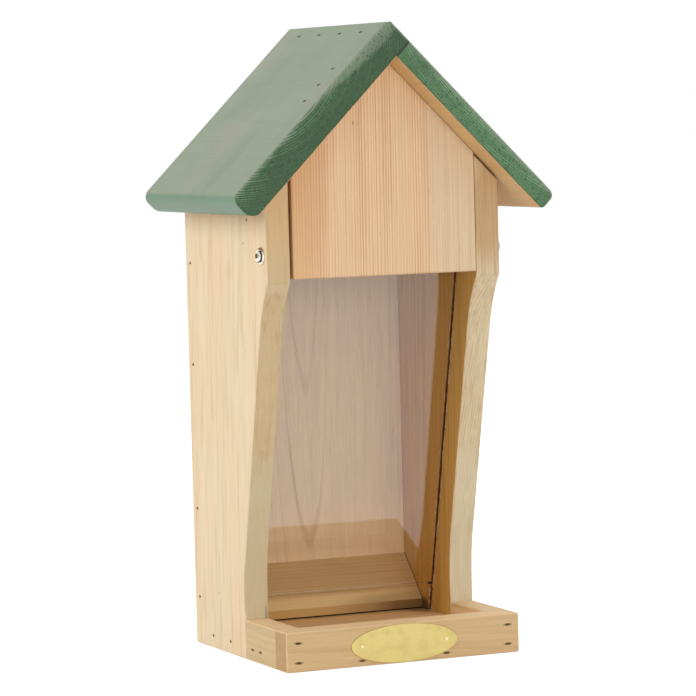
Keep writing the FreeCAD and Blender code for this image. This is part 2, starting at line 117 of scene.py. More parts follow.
class Graph:
    """A node tree that is built by short calls, most of which return the socket that carries on."""

    def __init__(self, tree: NodeTree) -> None:
        """Take a tree and empty it."""
        self.tree = tree
        tree.nodes.clear()

    def add(self, kind: str, inputs: dict[str | int, Feed] | None = None, **settings: object) -> Node:
        """Add a node.

        Args:
            kind: Blender's name for the node.
            inputs: Sockets by name or number, with what each one takes.
            settings: Properties of the node.

        Returns:
            The new node.
        """
        node = self.tree.nodes.new(kind)
        for name, value in settings.items():
            setattr(node, name, value)
        for socket, value in (inputs or {}).items():
            self.feed(node.inputs[socket], value)
        return node

    def feed(self, socket: Socket, value: Feed) -> None:
        """Link a socket to another one, or set its constant."""
        if isinstance(value, Socket):
            self.tree.links.new(value, socket)
        else:
            socket.default_value = value

    def fill(self, node: Node, **inputs: Feed) -> Node:
        """Feed a node's inputs, by name with underscores for spaces."""
        for name, value in inputs.items():
            self.feed(node.inputs[name.replace("_", " ")], value)
        return node

    def place(self, tree: NodeTree, **inputs: Feed) -> Node:
        """Place a shared group and feed its inputs."""
        return self.fill(self.add("ShaderNodeGroup", node_tree=tree), **inputs)

    def math(self, operation: str, *values: Feed, clamp: bool = False) -> Socket:
        """Arithmetic on numbers."""
        node = self.add("ShaderNodeMath", dict(enumerate(values)), operation=operation, use_clamp=clamp)
        return node.outputs[0]

    def plus(self, first: Feed, second: Feed) -> Socket:
        """One number and another."""
        return self.math("ADD", first, second)

    def minus(self, first: Feed, second: Feed) -> Socket:
        """One number less another."""
        return self.math("SUBTRACT", first, second)

    def times(self, first: Feed, second: Feed) -> Socket:
        """One number times another."""
        return self.math("MULTIPLY", first, second)

    def scaled(self, value: Feed, factor: Feed, start: Feed, clamp: bool = False) -> Socket:
        """A number times a factor, on top of a start."""
        return self.math("MULTIPLY_ADD", value, factor, start, clamp=clamp)

    def vector(self, operation: str, *values: Feed) -> Socket:
        """Arithmetic on vectors. Lengths and dot products give a number."""
        node = self.add("ShaderNodeVectorMath", dict(enumerate(values)), operation=operation)
        gives_number = operation in ("LENGTH", "DOT_PRODUCT")
        return node.outputs["Value" if gives_number else "Vector"]

    def dot(self, first: Feed, second: Feed) -> Socket:
        """How far one vector goes along another."""
        return self.vector("DOT_PRODUCT", first, second)

    def facing(self, normal: Feed, direction: Point, start: float = 0.75, end: float = 0.9) -> Socket:
        """1 on faces that look in a direction, going to 0 between two cosines of the angle to it."""
        return self.ease(self.dot(normal, direction), start, end)

    def noise(self, point: Feed, stretch: Feed, detail: float = 2.0, seed: Feed = 0.0) -> Socket:
        """Soft noise from 0 to 1.

        Args:
            point: Where it is read, in metres.
            stretch: How many waves it has per metre along each axis.
            detail: How many finer layers are added.
            seed: Which noise of the family this is.

        Returns:
            The value's socket.
        """
        stretched = self.vector("MULTIPLY", point, stretch)
        inputs = {"Vector": stretched, "W": seed, "Scale": 1.0, "Detail": detail}
        return self.add("ShaderNodeTexNoise", inputs, noise_dimensions="4D").outputs["Fac"]

    def ease(self, value: Feed, start: Feed, end: Feed, low: Feed = 0.0, high: Feed = 1.0) -> Socket:
        """Go smoothly from low to high as a value goes from start to end."""
        inputs = {"Value": value, "From Min": start, "From Max": end, "To Min": low, "To Max": high}
        return self.add("ShaderNodeMapRange", inputs, interpolation_type="SMOOTHSTEP").outputs["Result"]

    def mix(self, factor: Feed, first: Feed, second: Feed, blend: str = "MIX") -> Socket:
        """Blend two colours."""
        inputs = {0: factor, 6: first, 7: second}
        return self.add("ShaderNodeMix", inputs, data_type="RGBA", blend_type=blend).outputs[2]

    def shade(self, colour: Feed, level: Feed) -> Socket:
        """Make a colour darker or lighter by a factor."""
        grey = self.add("ShaderNodeCombineColor", {0: level, 1: level, 2: level}).outputs[0]
        return self.mix(1.0, colour, grey, "MULTIPLY")

    def bump(self, height: Feed, strength: float, depth: float) -> Socket:
        """A normal bent by a height, with a depth in millimetres."""
        inputs = {"Height": height, "Strength": strength, "Distance": depth * MM}
        return self.add("ShaderNodeBump", inputs).outputs["Normal"]


class SharedGroup:
    """A shader effect that several materials place, built once."""

    def __init__(self, name: str, inputs: Sockets, outputs: Sockets) -> None:
        """Make the group's tree and sockets.

        Args:
            name: The group's name.
            inputs: Names of its inputs, by kind.
            outputs: Names of its outputs, by kind.
        """
        self.tree = bpy.data.node_groups.new(name, "ShaderNodeTree")
        self.graph = Graph(self.tree)
        for way, sockets in (("INPUT", inputs), ("OUTPUT", outputs)):
            for kind, labels in sockets.items():
                for label in labels:
                    self.tree.interface.new_socket(label, in_out=way, socket_type="NodeSocket" + kind)
        self.given = self.graph.add("NodeGroupInput").outputs
        self.result = self.graph.add("NodeGroupOutput")

    def give(self, **sockets: Feed) -> None:
        """Link the results, by output name."""
        self.graph.fill(self.result, **sockets)


def softwood_group() -> NodeTree:
    """Solid softwood round a pith along Z: growth rings, fibres, flecks and streaks of heartwood."""
    group = SharedGroup(
        "softwood",
        {
            "Vector": ("Point",),
            "Color": ("Pale", "Ring", "Blush", "Sap"),
            "Float": (
                "End Grain", "Sapwood", "Ring Width", "Waver", "Early Share", "Contrast", "Blush Amount",
                "Fibre", "Smudge", "Seed",
            ),
        },
        {"Color": ("Color",), "Float": ("Height", "Roughness", "Rings", "Fibres")},
    )
    graph, given = group.graph, group.given
    point, seed = given["Point"], given["Seed"]

    # Growth rings: the distance from the pith, bent by slow waves along the trunk and by small ones
    slow = graph.minus(graph.noise(point, (9, 9, 3), 2, seed), 0.5)
    small = graph.minus(graph.noise(point, (150, 150, 14), 3, seed), 0.5)
    radius = graph.vector("LENGTH", graph.vector("MULTIPLY", point, (1, 1, 0)))
    radius = graph.scaled(slow, given["Waver"], radius)
    radius = graph.scaled(small, 0.9 * MM, radius)
    growth = {"W": radius, "Scale": 130.0, "Detail": 1.0}
    spread = graph.add("ShaderNodeTexNoise", growth, noise_dimensions="1D")
    count = graph.plus(graph.math("DIVIDE", radius, given["Ring Width"]), spread.outputs["Fac"])
    count = graph.plus(count, seed)
    season = graph.math("FRACT", count)
    year = graph.add("ShaderNodeTexWhiteNoise", {"W": graph.math("FLOOR", count)}, noise_dimensions="1D")
    strength = graph.scaled(year.outputs["Value"], 0.6, 0.4)
    rise = graph.ease(season, given["Early Share"], 0.88)
    fall = graph.ease(season, 0.9, 1.0)
    strength = graph.times(strength, graph.ease(graph.noise(point, (50, 50, 7), 2, seed), 0.3, 0.6, 0.4))
    late = graph.times(graph.minus(rise, fall), strength)

    # Fibres, broad streaks, smudges, short dark flecks, small painted glints, and the blush of heartwood
    fibres = graph.noise(point, (1100, 1100, 24), 3, seed)
    streaks = graph.noise(point, (230, 230, 4.5), 2, seed)
    smudges = graph.ease(graph.noise(point, (280, 280, 22), 3, seed), 0.48, 0.7)
    flecks = graph.ease(graph.noise(point, (1300, 1300, 80), 1, seed), 0.68, 0.78)
    painted_glints = graph.ease(graph.noise(point, (1000, 1000, 260), 1, seed), 0.68, 0.76)
    blush = graph.ease(graph.noise(point, (28, 28, 2.2), 3, seed), 0.46, 0.68)
    heart = graph.minus(1.0, given["Sapwood"])
    blush = graph.times(graph.times(blush, given["Blush Amount"]), heart)

    end = graph.ease(given["End Grain"], 0.55, 0.9)
    ring_share = graph.times(late, given["Contrast"])
    ring_share = graph.times(ring_share, graph.ease(heart, 0.0, 1.0, 0.25, 1.0))
    ring_share = graph.scaled(graph.times(ring_share, end), 0.6, ring_share, clamp=True)
    colour = graph.mix(given["Sapwood"], given["Pale"], given["Sap"])
    colour = graph.mix(blush, colour, given["Blush"])
    colour = graph.mix(ring_share, colour, given["Ring"])
    colour = graph.mix(graph.times(smudges, given["Smudge"]), colour, given["Ring"])
    uneven = graph.minus(graph.plus(fibres, streaks), 1.0)
    level = graph.scaled(uneven, given["Fibre"], 1.0)
    level = graph.scaled(flecks, -0.16, level)
    # Painted glints: small specks made lighter in the colour
    level = graph.scaled(painted_glints, 0.12, level)
    level = graph.scaled(end, -0.16, level)
    colour = graph.shade(colour, level)

    height = graph.scaled(fibres, 0.5, graph.times(late, 0.35))
    height = graph.scaled(flecks, -0.5, height)
    roughness = graph.scaled(fibres, 0.2, 0.5)
    roughness = graph.scaled(late, -0.1, roughness)
    group.give(Color=colour, Height=height, Roughness=roughness, Rings=late, Fibres=fibres)
    return group.tree


def small_mark_group() -> NodeTree:
    """A spot round a place, such as a dent, a split, a stained spot or a patch of painted light or shade,
    with a rim as ragged as is asked for.
    """
    inputs = {"Vector": ("Point", "Place", "Reach"), "Float": ("Ragged",)}
    group = SharedGroup("small_mark", inputs, {"Float": ("Mask",)})
    graph, given = group.graph, group.given
    away = graph.vector("DIVIDE", graph.vector("SUBTRACT", given["Point"], given["Place"]), given["Reach"])
    ragged = graph.minus(graph.noise(given["Point"], (900, 900, 900), 2), 0.5)
    distance = graph.scaled(ragged, given["Ragged"], graph.vector("LENGTH", away))
    group.give(Mask=graph.ease(distance, 1.0, 0.45))
    return group.tree


def kerf_fray_group() -> NodeTree:
    """The painted shade of a slanting saw kerf in an upright board, and the torn fibres along its two lips.
    """
    inputs = {"Vector": ("Point", "Foot", "Square")}
    group = SharedGroup("kerf_fray", inputs, {"Float": ("Torn", "Dark")})
    graph, given = group.graph, group.given
    across = graph.dot(graph.vector("SUBTRACT", given["Point"], given["Foot"]), given["Square"])
    across = graph.math("ABSOLUTE", across)
    tufts = graph.noise(given["Point"], (260, 420, 170), 3)
    half_kerf, longest_tuft, longest_split, soft = metres((1.4, 2.6, 1.1, 0.4))
    lip = half_kerf + 0.05 * MM
    reach = graph.ease(tufts, 0.53, 0.62, 0.0, longest_tuft)
    torn = graph.minus(graph.plus(reach, lip), across)
    splits = graph.noise(given["Point"], (300, 500, 330), 2, 3.0)
    split = graph.ease(splits, 0.42, 0.7, 0.0, longest_split)
    group.give(
        Torn=graph.ease(torn, 0.0, soft),
        Dark=graph.ease(graph.minus(across, split), half_kerf + soft, half_kerf),
    )
    return group.tree


def brushed_group() -> NodeTree:
    """Fine drawn lines and handling marks on metal."""
    inputs = {"Vector": ("Point", "Stretch")}
    group = SharedGroup("brushed", inputs, {"Float": ("Lines", "Smears", "Specks")})
    graph, given = group.graph, group.given
    group.give(
        Lines=graph.noise(given["Point"], given["Stretch"], 3),
        Smears=graph.noise(given["Point"], (140, 140, 140), 3),
        Specks=graph.ease(graph.noise(given["Point"], (1500, 1500, 1500), 1), 0.66, 0.76),
    )
    return group.tree


SOFTWOOD = softwood_group()
SMALL_MARK = small_mark_group()
KERF_FRAY = kerf_fray_group()
BRUSHED = brushed_group()


def new_material(name: str) -> tuple[Material, Graph, Node]:
    """Make a material with a Principled shader on its output.

    Args:
        name: The material's name.

    Returns:
        The material, its tree and the shader.
    """
    material = bpy.data.materials.new(name)
    material.use_nodes = True
    graph = Graph(material.node_tree)
    shader = graph.add("ShaderNodeBsdfPrincipled")
    output = graph.add("ShaderNodeOutputMaterial")
    graph.fill(output, Surface=shader.outputs["BSDF"])
    return material, graph, shader


class Grain(Enum):
    """The way a board's fibres run, with the turn that lays a trunk's upright axis along it."""

    ACROSS = ((1, 0, 0), (0, 90, 0))
    DEEP = ((0, 1, 0), (-90, 0, 0))
    UPRIGHT = ((0, 0, 1), (0, 0, 0))

    @property
    def axis(self) -> Point:
        """The fibres' direction."""
        return self.value[0]

    @property
    def turn(self) -> Point:
        """Degrees about X, Y and Z."""
        return self.value[1]


@dataclass(frozen=True)
class BoardCut:
    """How one board was sawn out of its trunk.

    Attributes:
        grain: The way its fibres run.
        pith: A point of the trunk's middle line, in millimetres in the house's frame.
        slope: Degrees about X, Y and Z by which the trunk's line leaves the board's.
        ring_width: Millimetres between growth rings.
        waver: Millimetres by which the rings wander.
        seed: Tells boards apart.
        sapwood_from: Where sapwood begins to the right, in millimetres, if the board has any.
        early_share: Share of each ring before its dark part begins.
    """

    grain: Grain
    pith: Point
    slope: Point
    ring_width: float
    waver: float
    seed: float
    sapwood_from: float | None = None
    early_share: float = 0.25


@dataclass(frozen=True)
class BareWood:
    """Planed softwood with no finish on it.

    Attributes:
        pale: Colour of the wood grown in spring.
        ring: Colour of the wood grown in summer.
        blush: Colour of the streaks of heartwood.
        sap: Colour of sapwood.
        contrast: How clearly the rings show.
        blush_amount: How much of the streaks shows.
        fibre: How uneven the fibres are.
        smudge: How dark the smudges are.
    """

    pale: Colour
    ring: Colour
    blush: Colour
    sap: Colour = WHITE
    contrast: float = 0.5
    blush_amount: float = 0.3
    fibre: float = 0.25
    smudge: float = 0.06

    SAPWOOD_WANDER = 16 * MM
    SAPWOOD_RIM = 12 * MM

    def grow(self, graph: Graph, where: Node, cut: BoardCut) -> Node:
        """Place the softwood group for a board.

        Args:
            graph: The material's tree.
            where: Its texture coordinates.
            cut: How the board was sawn.

        Returns:
            The group's node.
        """
        turn = tuple(math.radians(lay + slope) for lay, slope in zip(cut.grain.turn, cut.slope))
        lay_out = {"Vector": where.outputs["Object"], "Location": metres(cut.pith), "Rotation": turn}
        trunk = graph.add("ShaderNodeMapping", lay_out, vector_type="TEXTURE")
        end = graph.math("ABSOLUTE", graph.dot(where.outputs["Normal"], cut.grain.axis))
        wood = graph.place(
            SOFTWOOD,
            Point=trunk.outputs["Vector"],
            End_Grain=end,
            Pale=self.pale,
            Ring=self.ring,
            Blush=self.blush,
            Sap=self.sap,
            Ring_Width=cut.ring_width * MM,
            Waver=cut.waver * MM,
            Early_Share=cut.early_share,
            Contrast=self.contrast,
            Blush_Amount=self.blush_amount,
            Fibre=self.fibre,
            Smudge=self.smudge,
            Seed=cut.seed,
        )
        if cut.sapwood_from is not None:
            rightward = graph.add("ShaderNodeSeparateXYZ", {0: where.outputs["Object"]}).outputs["X"]
            wander = graph.noise(where.outputs["Object"], (40, 40, 5), 2, cut.seed)
            rightward = graph.scaled(wander, self.SAPWOOD_WANDER, rightward)
            start = cut.sapwood_from * MM
            graph.fill(wood, Sapwood=graph.ease(rightward, start, start + self.SAPWOOD_RIM))
        return wood


@dataclass(frozen=True)
class Mark:
    """A dent, a split, a stained spot or a patch of painted light or shade on a board.

    Attributes:
        place: Its middle, in millimetres.
        reach: How far it goes along X, Y and Z, in millimetres.
        colour: Its colour.
        strength: How much of that colour shows.
        depth: How deep it is pressed in, as a share of the grain's depth. A stained spot or a patch of
            painted light or shade has none.
        facing: The direction that the faces look that it is on, if it isn't on all.
    """

    place: Point
    reach: Point
    colour: Colour = chip(70, 46, 26)
    strength: float = 0.8
    depth: float = 1.0
    facing: Point | None = None

    RAGGED = 0.7

    @classmethod
    def stain_or_painted_light(
        cls, place: Point, reach: Point, colour: Colour, strength: float, facing: Point | None = None
    ) -> "Mark":
        """A mark that isn't pressed in and has a smooth rim: a stained spot, or a patch of painted light or
        shade.
        """
        return cls(place, reach, colour, strength, 0.0, facing)

    def mask(self, graph: Graph, where: Node) -> Socket:
        """How much of the mark is at each point of a board, from 0 to 1."""
        spot = graph.place(
            SMALL_MARK,
            Point=where.outputs["Object"],
            Place=metres(self.place),
            Reach=metres(self.reach),
            Ragged=self.RAGGED if self.depth else 0.0,
        )
        if self.facing is None:
            return spot.outputs["Mask"]
        return graph.times(spot.outputs["Mask"], graph.facing(where.outputs["Normal"], self.facing))

    def lay(self, graph: Graph, where: Node, colour: Socket, height: Socket) -> tuple[Socket, Socket]:
        """Lay the mark over a board.

        Args:
            graph: The material's tree.
            where: Its texture coordinates.
            colour: The board's colour.
            height: Its height.

        Returns:
            The colour and the height with the mark.
        """
        mask = self.mask(graph, where)
        colour = graph.mix(graph.times(mask, self.strength), colour, self.colour)
        return colour, graph.scaled(mask, -self.depth, height)


@dataclass(frozen=True)
class Tone:
    """The faces of a board that are darker or warmer than the rest, some of them as painted shade.

    Attributes:
        facing: The direction that they look.
        colour: What their wood is multiplied by.
    """

    facing: Point
    colour: Colour


@dataclass
class Board:
    """A bare board of the house.

    Attributes:
        node: Its CAD node.
        finish: Its wood.
        cut: How it was sawn.
        marks: Dents, stains, splits and patches of painted light and shade on it.
        tones: Its faces that differ from the rest, some of them by painted shade.
        kerf_facing: The direction that the face with the pane's saw kerf looks, if it has one.
    """

    node: str
    finish: BareWood
    cut: BoardCut
    marks: list[Mark] = field(default_factory=list)
    tones: tuple[Tone, ...] = ()
    kerf_facing: Point | None = None

    KERF_FOOT = (0.0, 24.8, 16.0)
    SHINE = 0.3
    TORN_FIBRE = chip(238, 214, 176)
    KERF_SHADE = chip(112, 62, 18)
    RELIEF = 0.25
    GRAIN_DEPTH = 0.4

    def material(self) -> Material:
        """The board's own material."""
        material, graph, shader = new_material(self.node + "_wood")
        where = graph.add("ShaderNodeTexCoord")
        point, normal = where.outputs["Object"], where.outputs["Normal"]
        wood = self.finish.grow(graph, where, self.cut)
        colour, height, roughness = wood.outputs["Color"], wood.outputs["Height"], wood.outputs["Roughness"]
        for tone in self.tones:
            toned = graph.mix(1.0, colour, tone.colour, "MULTIPLY")
            colour = graph.mix(graph.facing(normal, tone.facing), colour, toned)
        # The kerf: painted shade on the face round it and on its walls, and pale torn fibres along its lips
        if self.kerf_facing:
            square = tuple(SeedPane.square())
            fray = graph.place(KERF_FRAY, Point=point, Foot=metres(self.KERF_FOOT), Square=square)
            inner = graph.facing(normal, self.kerf_facing, 0.5, 0.8)
            walls = graph.math("ABSOLUTE", graph.dot(normal, square))
            sawn = graph.math("MAXIMUM", inner, graph.ease(walls, 0.9, 0.97))
            dark = graph.times(fray.outputs["Dark"], graph.times(sawn, 0.95))
            torn = graph.times(fray.outputs["Torn"], graph.times(inner, 0.9))
            colour = graph.mix(dark, colour, self.KERF_SHADE)
            colour = graph.mix(torn, colour, self.TORN_FIBRE)
            roughness = graph.ease(dark, 0.0, 0.8, roughness, 1.0)
            height = graph.scaled(torn, 1.5, height)
        for mark in self.marks:
            colour, height = mark.lay(graph, where, colour, height)
        bumped = graph.bump(height, self.RELIEF, self.GRAIN_DEPTH)
        graph.fill(shader, Base_Color=colour, Roughness=roughness, Normal=bumped)
        graph.fill(shader, Specular_IOR_Level=self.SHINE)
        return material


@dataclass(frozen=True)
class Glaze:
    """Green wood glaze, brushed on the outside of a roof board.

    Attributes:
        deep: Colour on faces that took it up well.
        thin: Colour where it lies thin over hard rings.
        broad_sheen: Colour of the broad face, paler than the deep glaze as painted sheen.
        worn_sheen: Colour of the patches where that face has the most wear, with the same painted sheen.
        eave: Colour of the rounded lower edge, paler than the deep glaze as painted sheen.
        streaks: How clearly the rings show through on the ends.
    """

    deep: Colour
    thin: Colour
    broad_sheen: Colour
    worn_sheen: Colour
    eave: Colour
    streaks: float


@dataclass
class RoofBoard:
    """A roof board: glazed outside, bare underneath.

    Attributes:
        node: Its CAD node.
        wood: The wood that shows underneath.
        glaze: The finish outside.
        cut: How it was sawn.
        outward: The direction that its upper face looks.
        underside: Distance of its under face from the origin along that direction, in millimetres.
        thickness: Of the board, in millimetres.
        sheen_rim: Width of the band under the upper face where its ends take the broad face's painted sheen,
            in millimetres.
        rim_growth: Millimetres by which that band is wider at the ridge than at the eave.
        marks: Dents and stains on it.
    """

    node: str
    wood: BareWood
    glaze: Glaze
    cut: BoardCut
    outward: Point
    underside: float
    thickness: float
    sheen_rim: float
    rim_growth: float = 0.0
    marks: list[Mark] = field(default_factory=list)

    BRIM = chip(38, 52, 30)
    SEAM = chip(24, 30, 18)
    RELIEF = 0.3
    GRAIN_DEPTH = 0.4

    @staticmethod
    def seam(graph: Graph, point: Feed, ragged: Feed) -> Socket:
        """The dark line where the right board butts against the under face of the left one."""
        off = graph.minus(graph.dot(point, LEFT_OUTWARD), LEFT_UNDERSIDE * MM)
        near = graph.ease(graph.plus(graph.math("ABSOLUTE", off), ragged), 1.3 * MM, 0.8 * MM)
        inside = graph.minus(graph.dot(point, RIGHT_OUTWARD), RIGHT_UNDERSIDE * MM)
        return graph.times(near, graph.ease(inside, 0.2 * MM, 0.6 * MM))

    def material(self) -> Material:
        """The board's own material."""
        material, graph, shader = new_material(self.node + "_glaze")
        where = graph.add("ShaderNodeTexCoord")
        point, normal = where.outputs["Object"], where.outputs["Normal"]
        wood = self.wood.grow(graph, where, self.cut)
        rings, fibres = wood.outputs["Rings"], wood.outputs["Fibres"]

        # Where the glaze lies: from the under face up, with a ragged brim
        above = graph.minus(graph.dot(point, self.outward), self.underside * MM)
        ragged = graph.times(graph.noise(point, (300, 300, 300), 3, 4.0), 0.6 * MM)
        above = graph.minus(above, ragged)
        glazed = graph.ease(above, -0.2 * MM, 0.1 * MM)
        brim = graph.ease(above, 0.9 * MM, 0.1 * MM)

        # Its tone: pale with painted sheen and patchy on the broad face, deep on the ends, thin over the hard
        # rings there
        endward = graph.math("ABSOLUTE", graph.dot(normal, BACK))
        end = graph.ease(endward, 0.3, 0.9)
        blotch = graph.noise(point, (60, 14, 60), 3, 7.0)
        bands = graph.noise(point, (7, 26, 7), 2, 2.0)
        patches = graph.ease(graph.noise(point, (14, 22, 14), 3, 9.0), 0.42, 0.66)
        pores = graph.ease(graph.noise(point, (800, 500, 800), 2, 5.0), 0.54, 0.68)
        broken = graph.noise(point, (240, 240, 240), 2, 6.0)
        streak = graph.ease(graph.scaled(broken, 0.6, rings), 0.5, 0.9)
        toothed = graph.scaled(streak, -0.45, graph.plus(endward, 0.15))
        streak = graph.times(streak, graph.ease(end, 0.0, 1.0, 0.12, self.glaze.streaks))
        depth = self.thickness * MM
        streak = graph.times(streak, graph.ease(above, depth * 0.35, depth * 0.75, 0.35, 1.0))
        # Painted sheen on the broad face, with patches of wear
        broad = graph.mix(graph.times(patches, 0.6), self.glaze.broad_sheen, self.glaze.worn_sheen)
        down_slope = (self.outward[0], 0.0, -self.outward[2])
        # Painted sheen on the rounded eave
        broad = graph.mix(graph.facing(normal, down_slope, 0.1, 0.6), broad, self.glaze.eave)
        # Painted sheen along the top of the ends: the broad face's pale colour in a band that widens towards
        # the ridge
        rim_start = (self.thickness - self.sheen_rim) * MM
        ridgeward = graph.ease(graph.dot(point, down_slope), -200 * MM, -275 * MM, 0.0, self.rim_growth * MM)
        sheen_from = graph.plus(graph.scaled(broken, 3 * MM, above), ridgeward)
        rim = graph.ease(sheen_from, rim_start, rim_start + 4 * MM)
        deep = graph.mix(graph.times(rim, 0.6), self.glaze.deep, self.glaze.broad_sheen)
        colour = graph.mix(graph.ease(toothed, 0.3, 0.62), broad, deep)
        colour = graph.mix(streak, colour, self.glaze.thin)
        level = graph.scaled(graph.minus(blotch, 0.5), 0.4, 1.0)
        level = graph.scaled(graph.minus(bands, 0.5), 0.35, level)
        level = graph.scaled(graph.times(pores, end), -0.7, level)
        colour = graph.shade(colour, level)
        colour = graph.mix(graph.times(brim, 0.8), colour, self.BRIM)
        colour = graph.mix(glazed, wood.outputs["Color"], colour)
        colour = graph.mix(self.seam(graph, point, ragged), colour, self.SEAM)

        height = graph.scaled(rings, 0.5, graph.times(fibres, 0.4))
        height = graph.scaled(graph.times(pores, end), -0.6, height)
        for mark in self.marks:
            colour, height = mark.lay(graph, where, colour, height)
        gloss = graph.scaled(blotch, 0.16, graph.ease(end, 0.0, 1.0, 0.42, 0.5))
        roughness = graph.ease(glazed, 0.0, 1.0, wood.outputs["Roughness"], gloss)
        bumped = graph.bump(height, self.RELIEF, self.GRAIN_DEPTH)
        graph.fill(shader, Base_Color=colour, Roughness=roughness, Normal=bumped)
        return material


def dress(board: Board | RoofBoard) -> None:
    """Give a CAD board its own material."""
    slots = NODES[board.node].data.materials
    slots.clear()
    slots.append(board.material())
    LOG.info("dressed %s", board.node)


@dataclass(frozen=True)
class DarkArc:
    """A dark arc about the lid's pivot, on the screw and its washer: painted shade in the cup round the head.

    Attributes:
        inner: Its inner radius, in millimetres.
        outer: Its outer radius.
        side: -1 in front of the pivot, 1 behind it.
        tall: How far it goes above and below the pivot, in millimetres.
    """

    inner: float
    outer: float
    side: int
    tall: float

    SOFT = 0.3 * MM
    UNEVEN = 0.6 * MM

    def mask(self, graph: Graph, point: Feed, uneven: Feed) -> Socket:
        """How much of the arc is at each point.

        Args:
            graph: The material's tree.
            point: The place in the house's frame.
            uneven: A noise that makes its rims uneven.

        Returns:
            A value from 0 to 1.
        """
        inner, outer, tall = metres((self.inner, self.outer, self.tall))
        radial = graph.vector("SUBTRACT", point, PivotFitting.axis_point())
        radial = graph.vector("MULTIPLY", radial, (0, 1, 1))
        radius = graph.scaled(graph.minus(uneven, 0.5), self.UNEVEN, graph.vector("LENGTH", radial))
        within = graph.ease(radius, outer, outer - self.SOFT)
        ring = graph.times(graph.ease(radius, inner, inner + self.SOFT), within)
        place = graph.add("ShaderNodeSeparateXYZ", {0: radial}).outputs
        sideways = graph.ease(graph.times(place["Y"], self.side), 0.0, self.SOFT)
        height = graph.ease(graph.math("ABSOLUTE", place["Z"]), tall + self.SOFT, tall - self.SOFT)
        return graph.times(ring, graph.times(sideways, height))


@dataclass(frozen=True)
class Metal:
    """A bare metal.

    Attributes:
        name: The material's name.
        bright: Colour where it is clean.
        dull: Colour where it is tarnished.
        stretch: Waves per metre of its drawn lines.
        roughness: Least roughness.
        tarnish: How much of the dull colour shows.
        dark_arcs: Arcs of painted shade on it, about the lid's pivot.
    """

    name: str
    bright: Colour
    dull: Colour
    stretch: Point
    roughness: float
    tarnish: float = 0.5
    dark_arcs: tuple[DarkArc, ...] = ()

    # Colour, roughness and cover of the painted shade in the arcs
    DARK = chip(28, 22, 14)
    DARK_ROUGHNESS = 0.8
    DARK_COVER = 0.9
    RELIEF = 0.15
    LINE_DEPTH = 0.05

    def material(self) -> Material:
        """Make the metal's material."""
        material, graph, shader = new_material(self.name)
        where = graph.add("ShaderNodeTexCoord").outputs["Object"]
        worked = graph.place(BRUSHED, Point=where, Stretch=self.stretch)
        lines, smears = worked.outputs["Lines"], worked.outputs["Smears"]
        dull = graph.times(graph.ease(smears, 0.4, 0.75), self.tarnish)
        colour = graph.mix(dull, self.bright, self.dull)
        specks = graph.times(worked.outputs["Specks"], self.tarnish)
        colour = graph.mix(graph.times(specks, 0.6), colour, self.dull)
        roughness = graph.scaled(lines, 0.18, self.roughness)
        roughness = graph.scaled(dull, 0.15, roughness)
        metallic: Feed = 1.0
        # Painted shade: dark, matt arcs in the cup round the screw's head
        for arc in self.dark_arcs:
            mask = arc.mask(graph, where, smears)
            colour = graph.mix(mask, colour, self.DARK)
            roughness = graph.ease(mask, 0.0, 1.0, roughness, self.DARK_ROUGHNESS)
            metallic = graph.minus(metallic, graph.times(mask, self.DARK_COVER))
        bumped = graph.bump(lines, self.RELIEF, self.LINE_DEPTH)
        graph.fill(shader, Base_Color=colour, Roughness=roughness, Metallic=metallic, Normal=bumped)
        return material


@dataclass(frozen=True)
class ClearSheet:
    """Clear acrylic with polished faces and sawn edges.

    Attributes:
        tint: Colour of the sheet.
        facing: The direction that its polished faces look.
        clear_width: How far from the middle it shows, in millimetres. The rest is in the kerfs, tinted dark
            and without reflection as painted shade.
    """

    tint: Colour
    facing: Point
    clear_width: float

    # Dark brown tint of the sheet inside the kerfs: painted shade
    IN_KERF_SHADE = chip(90, 48, 14)
    KERF_RIM = 0.3
    SHINE = 0.5
    IOR = 1.55
    PASSED_LIGHT = (0.93, 0.93, 0.93, 1)

    def material(self) -> Material:
        """Make the sheet's material, which lets light from the lamps straight through."""
        material, graph, shader = new_material("clear_acrylic")
        where = graph.add("ShaderNodeTexCoord")
        polished = graph.math("ABSOLUTE", graph.dot(where.outputs["Normal"], self.facing))
        sawn = graph.ease(polished, 0.95, 0.6)
        dust = graph.noise(where.outputs["Object"], (420, 420, 420), 3)
        cloud = graph.noise(where.outputs["Object"], (16, 16, 16), 2)
        roughness = graph.times(cloud, 0.008)
        roughness = graph.scaled(sawn, 0.2, roughness)
        sideways = graph.add("ShaderNodeSeparateXYZ", {0: where.outputs["Object"]}).outputs["X"]
        shows, ends = metres((self.clear_width, self.clear_width + self.KERF_RIM))
        hidden = graph.ease(graph.math("ABSOLUTE", sideways), shows, ends)
        # The part of the sheet in the kerfs: tinted dark brown and without reflection, as painted shade
        graph.fill(
            shader,
            Base_Color=graph.mix(hidden, self.tint, self.IN_KERF_SHADE),
            Roughness=graph.scaled(hidden, 0.5, roughness),
            Specular_IOR_Level=graph.ease(hidden, 0.0, 1.0, self.SHINE, 0.0),
            Normal=graph.bump(graph.times(dust, sawn), 0.3, 0.2),
            Transmission_Weight=1.0,
            IOR=self.IOR,
        )
        through = graph.add("ShaderNodeBsdfTransparent", {"Color": self.PASSED_LIGHT})
        lit = graph.add("ShaderNodeLightPath").outputs
        passes = graph.math("MAXIMUM", lit["Is Shadow Ray"], lit["Is Diffuse Ray"])
        both = graph.add("ShaderNodeMixShader", {0: passes, 1: shader.outputs[0], 2: through.outputs[0]})
        output = next(node for node in graph.tree.nodes if node.type == "OUTPUT_MATERIAL")
        graph.fill(output, Surface=both.outputs[0])
        return material


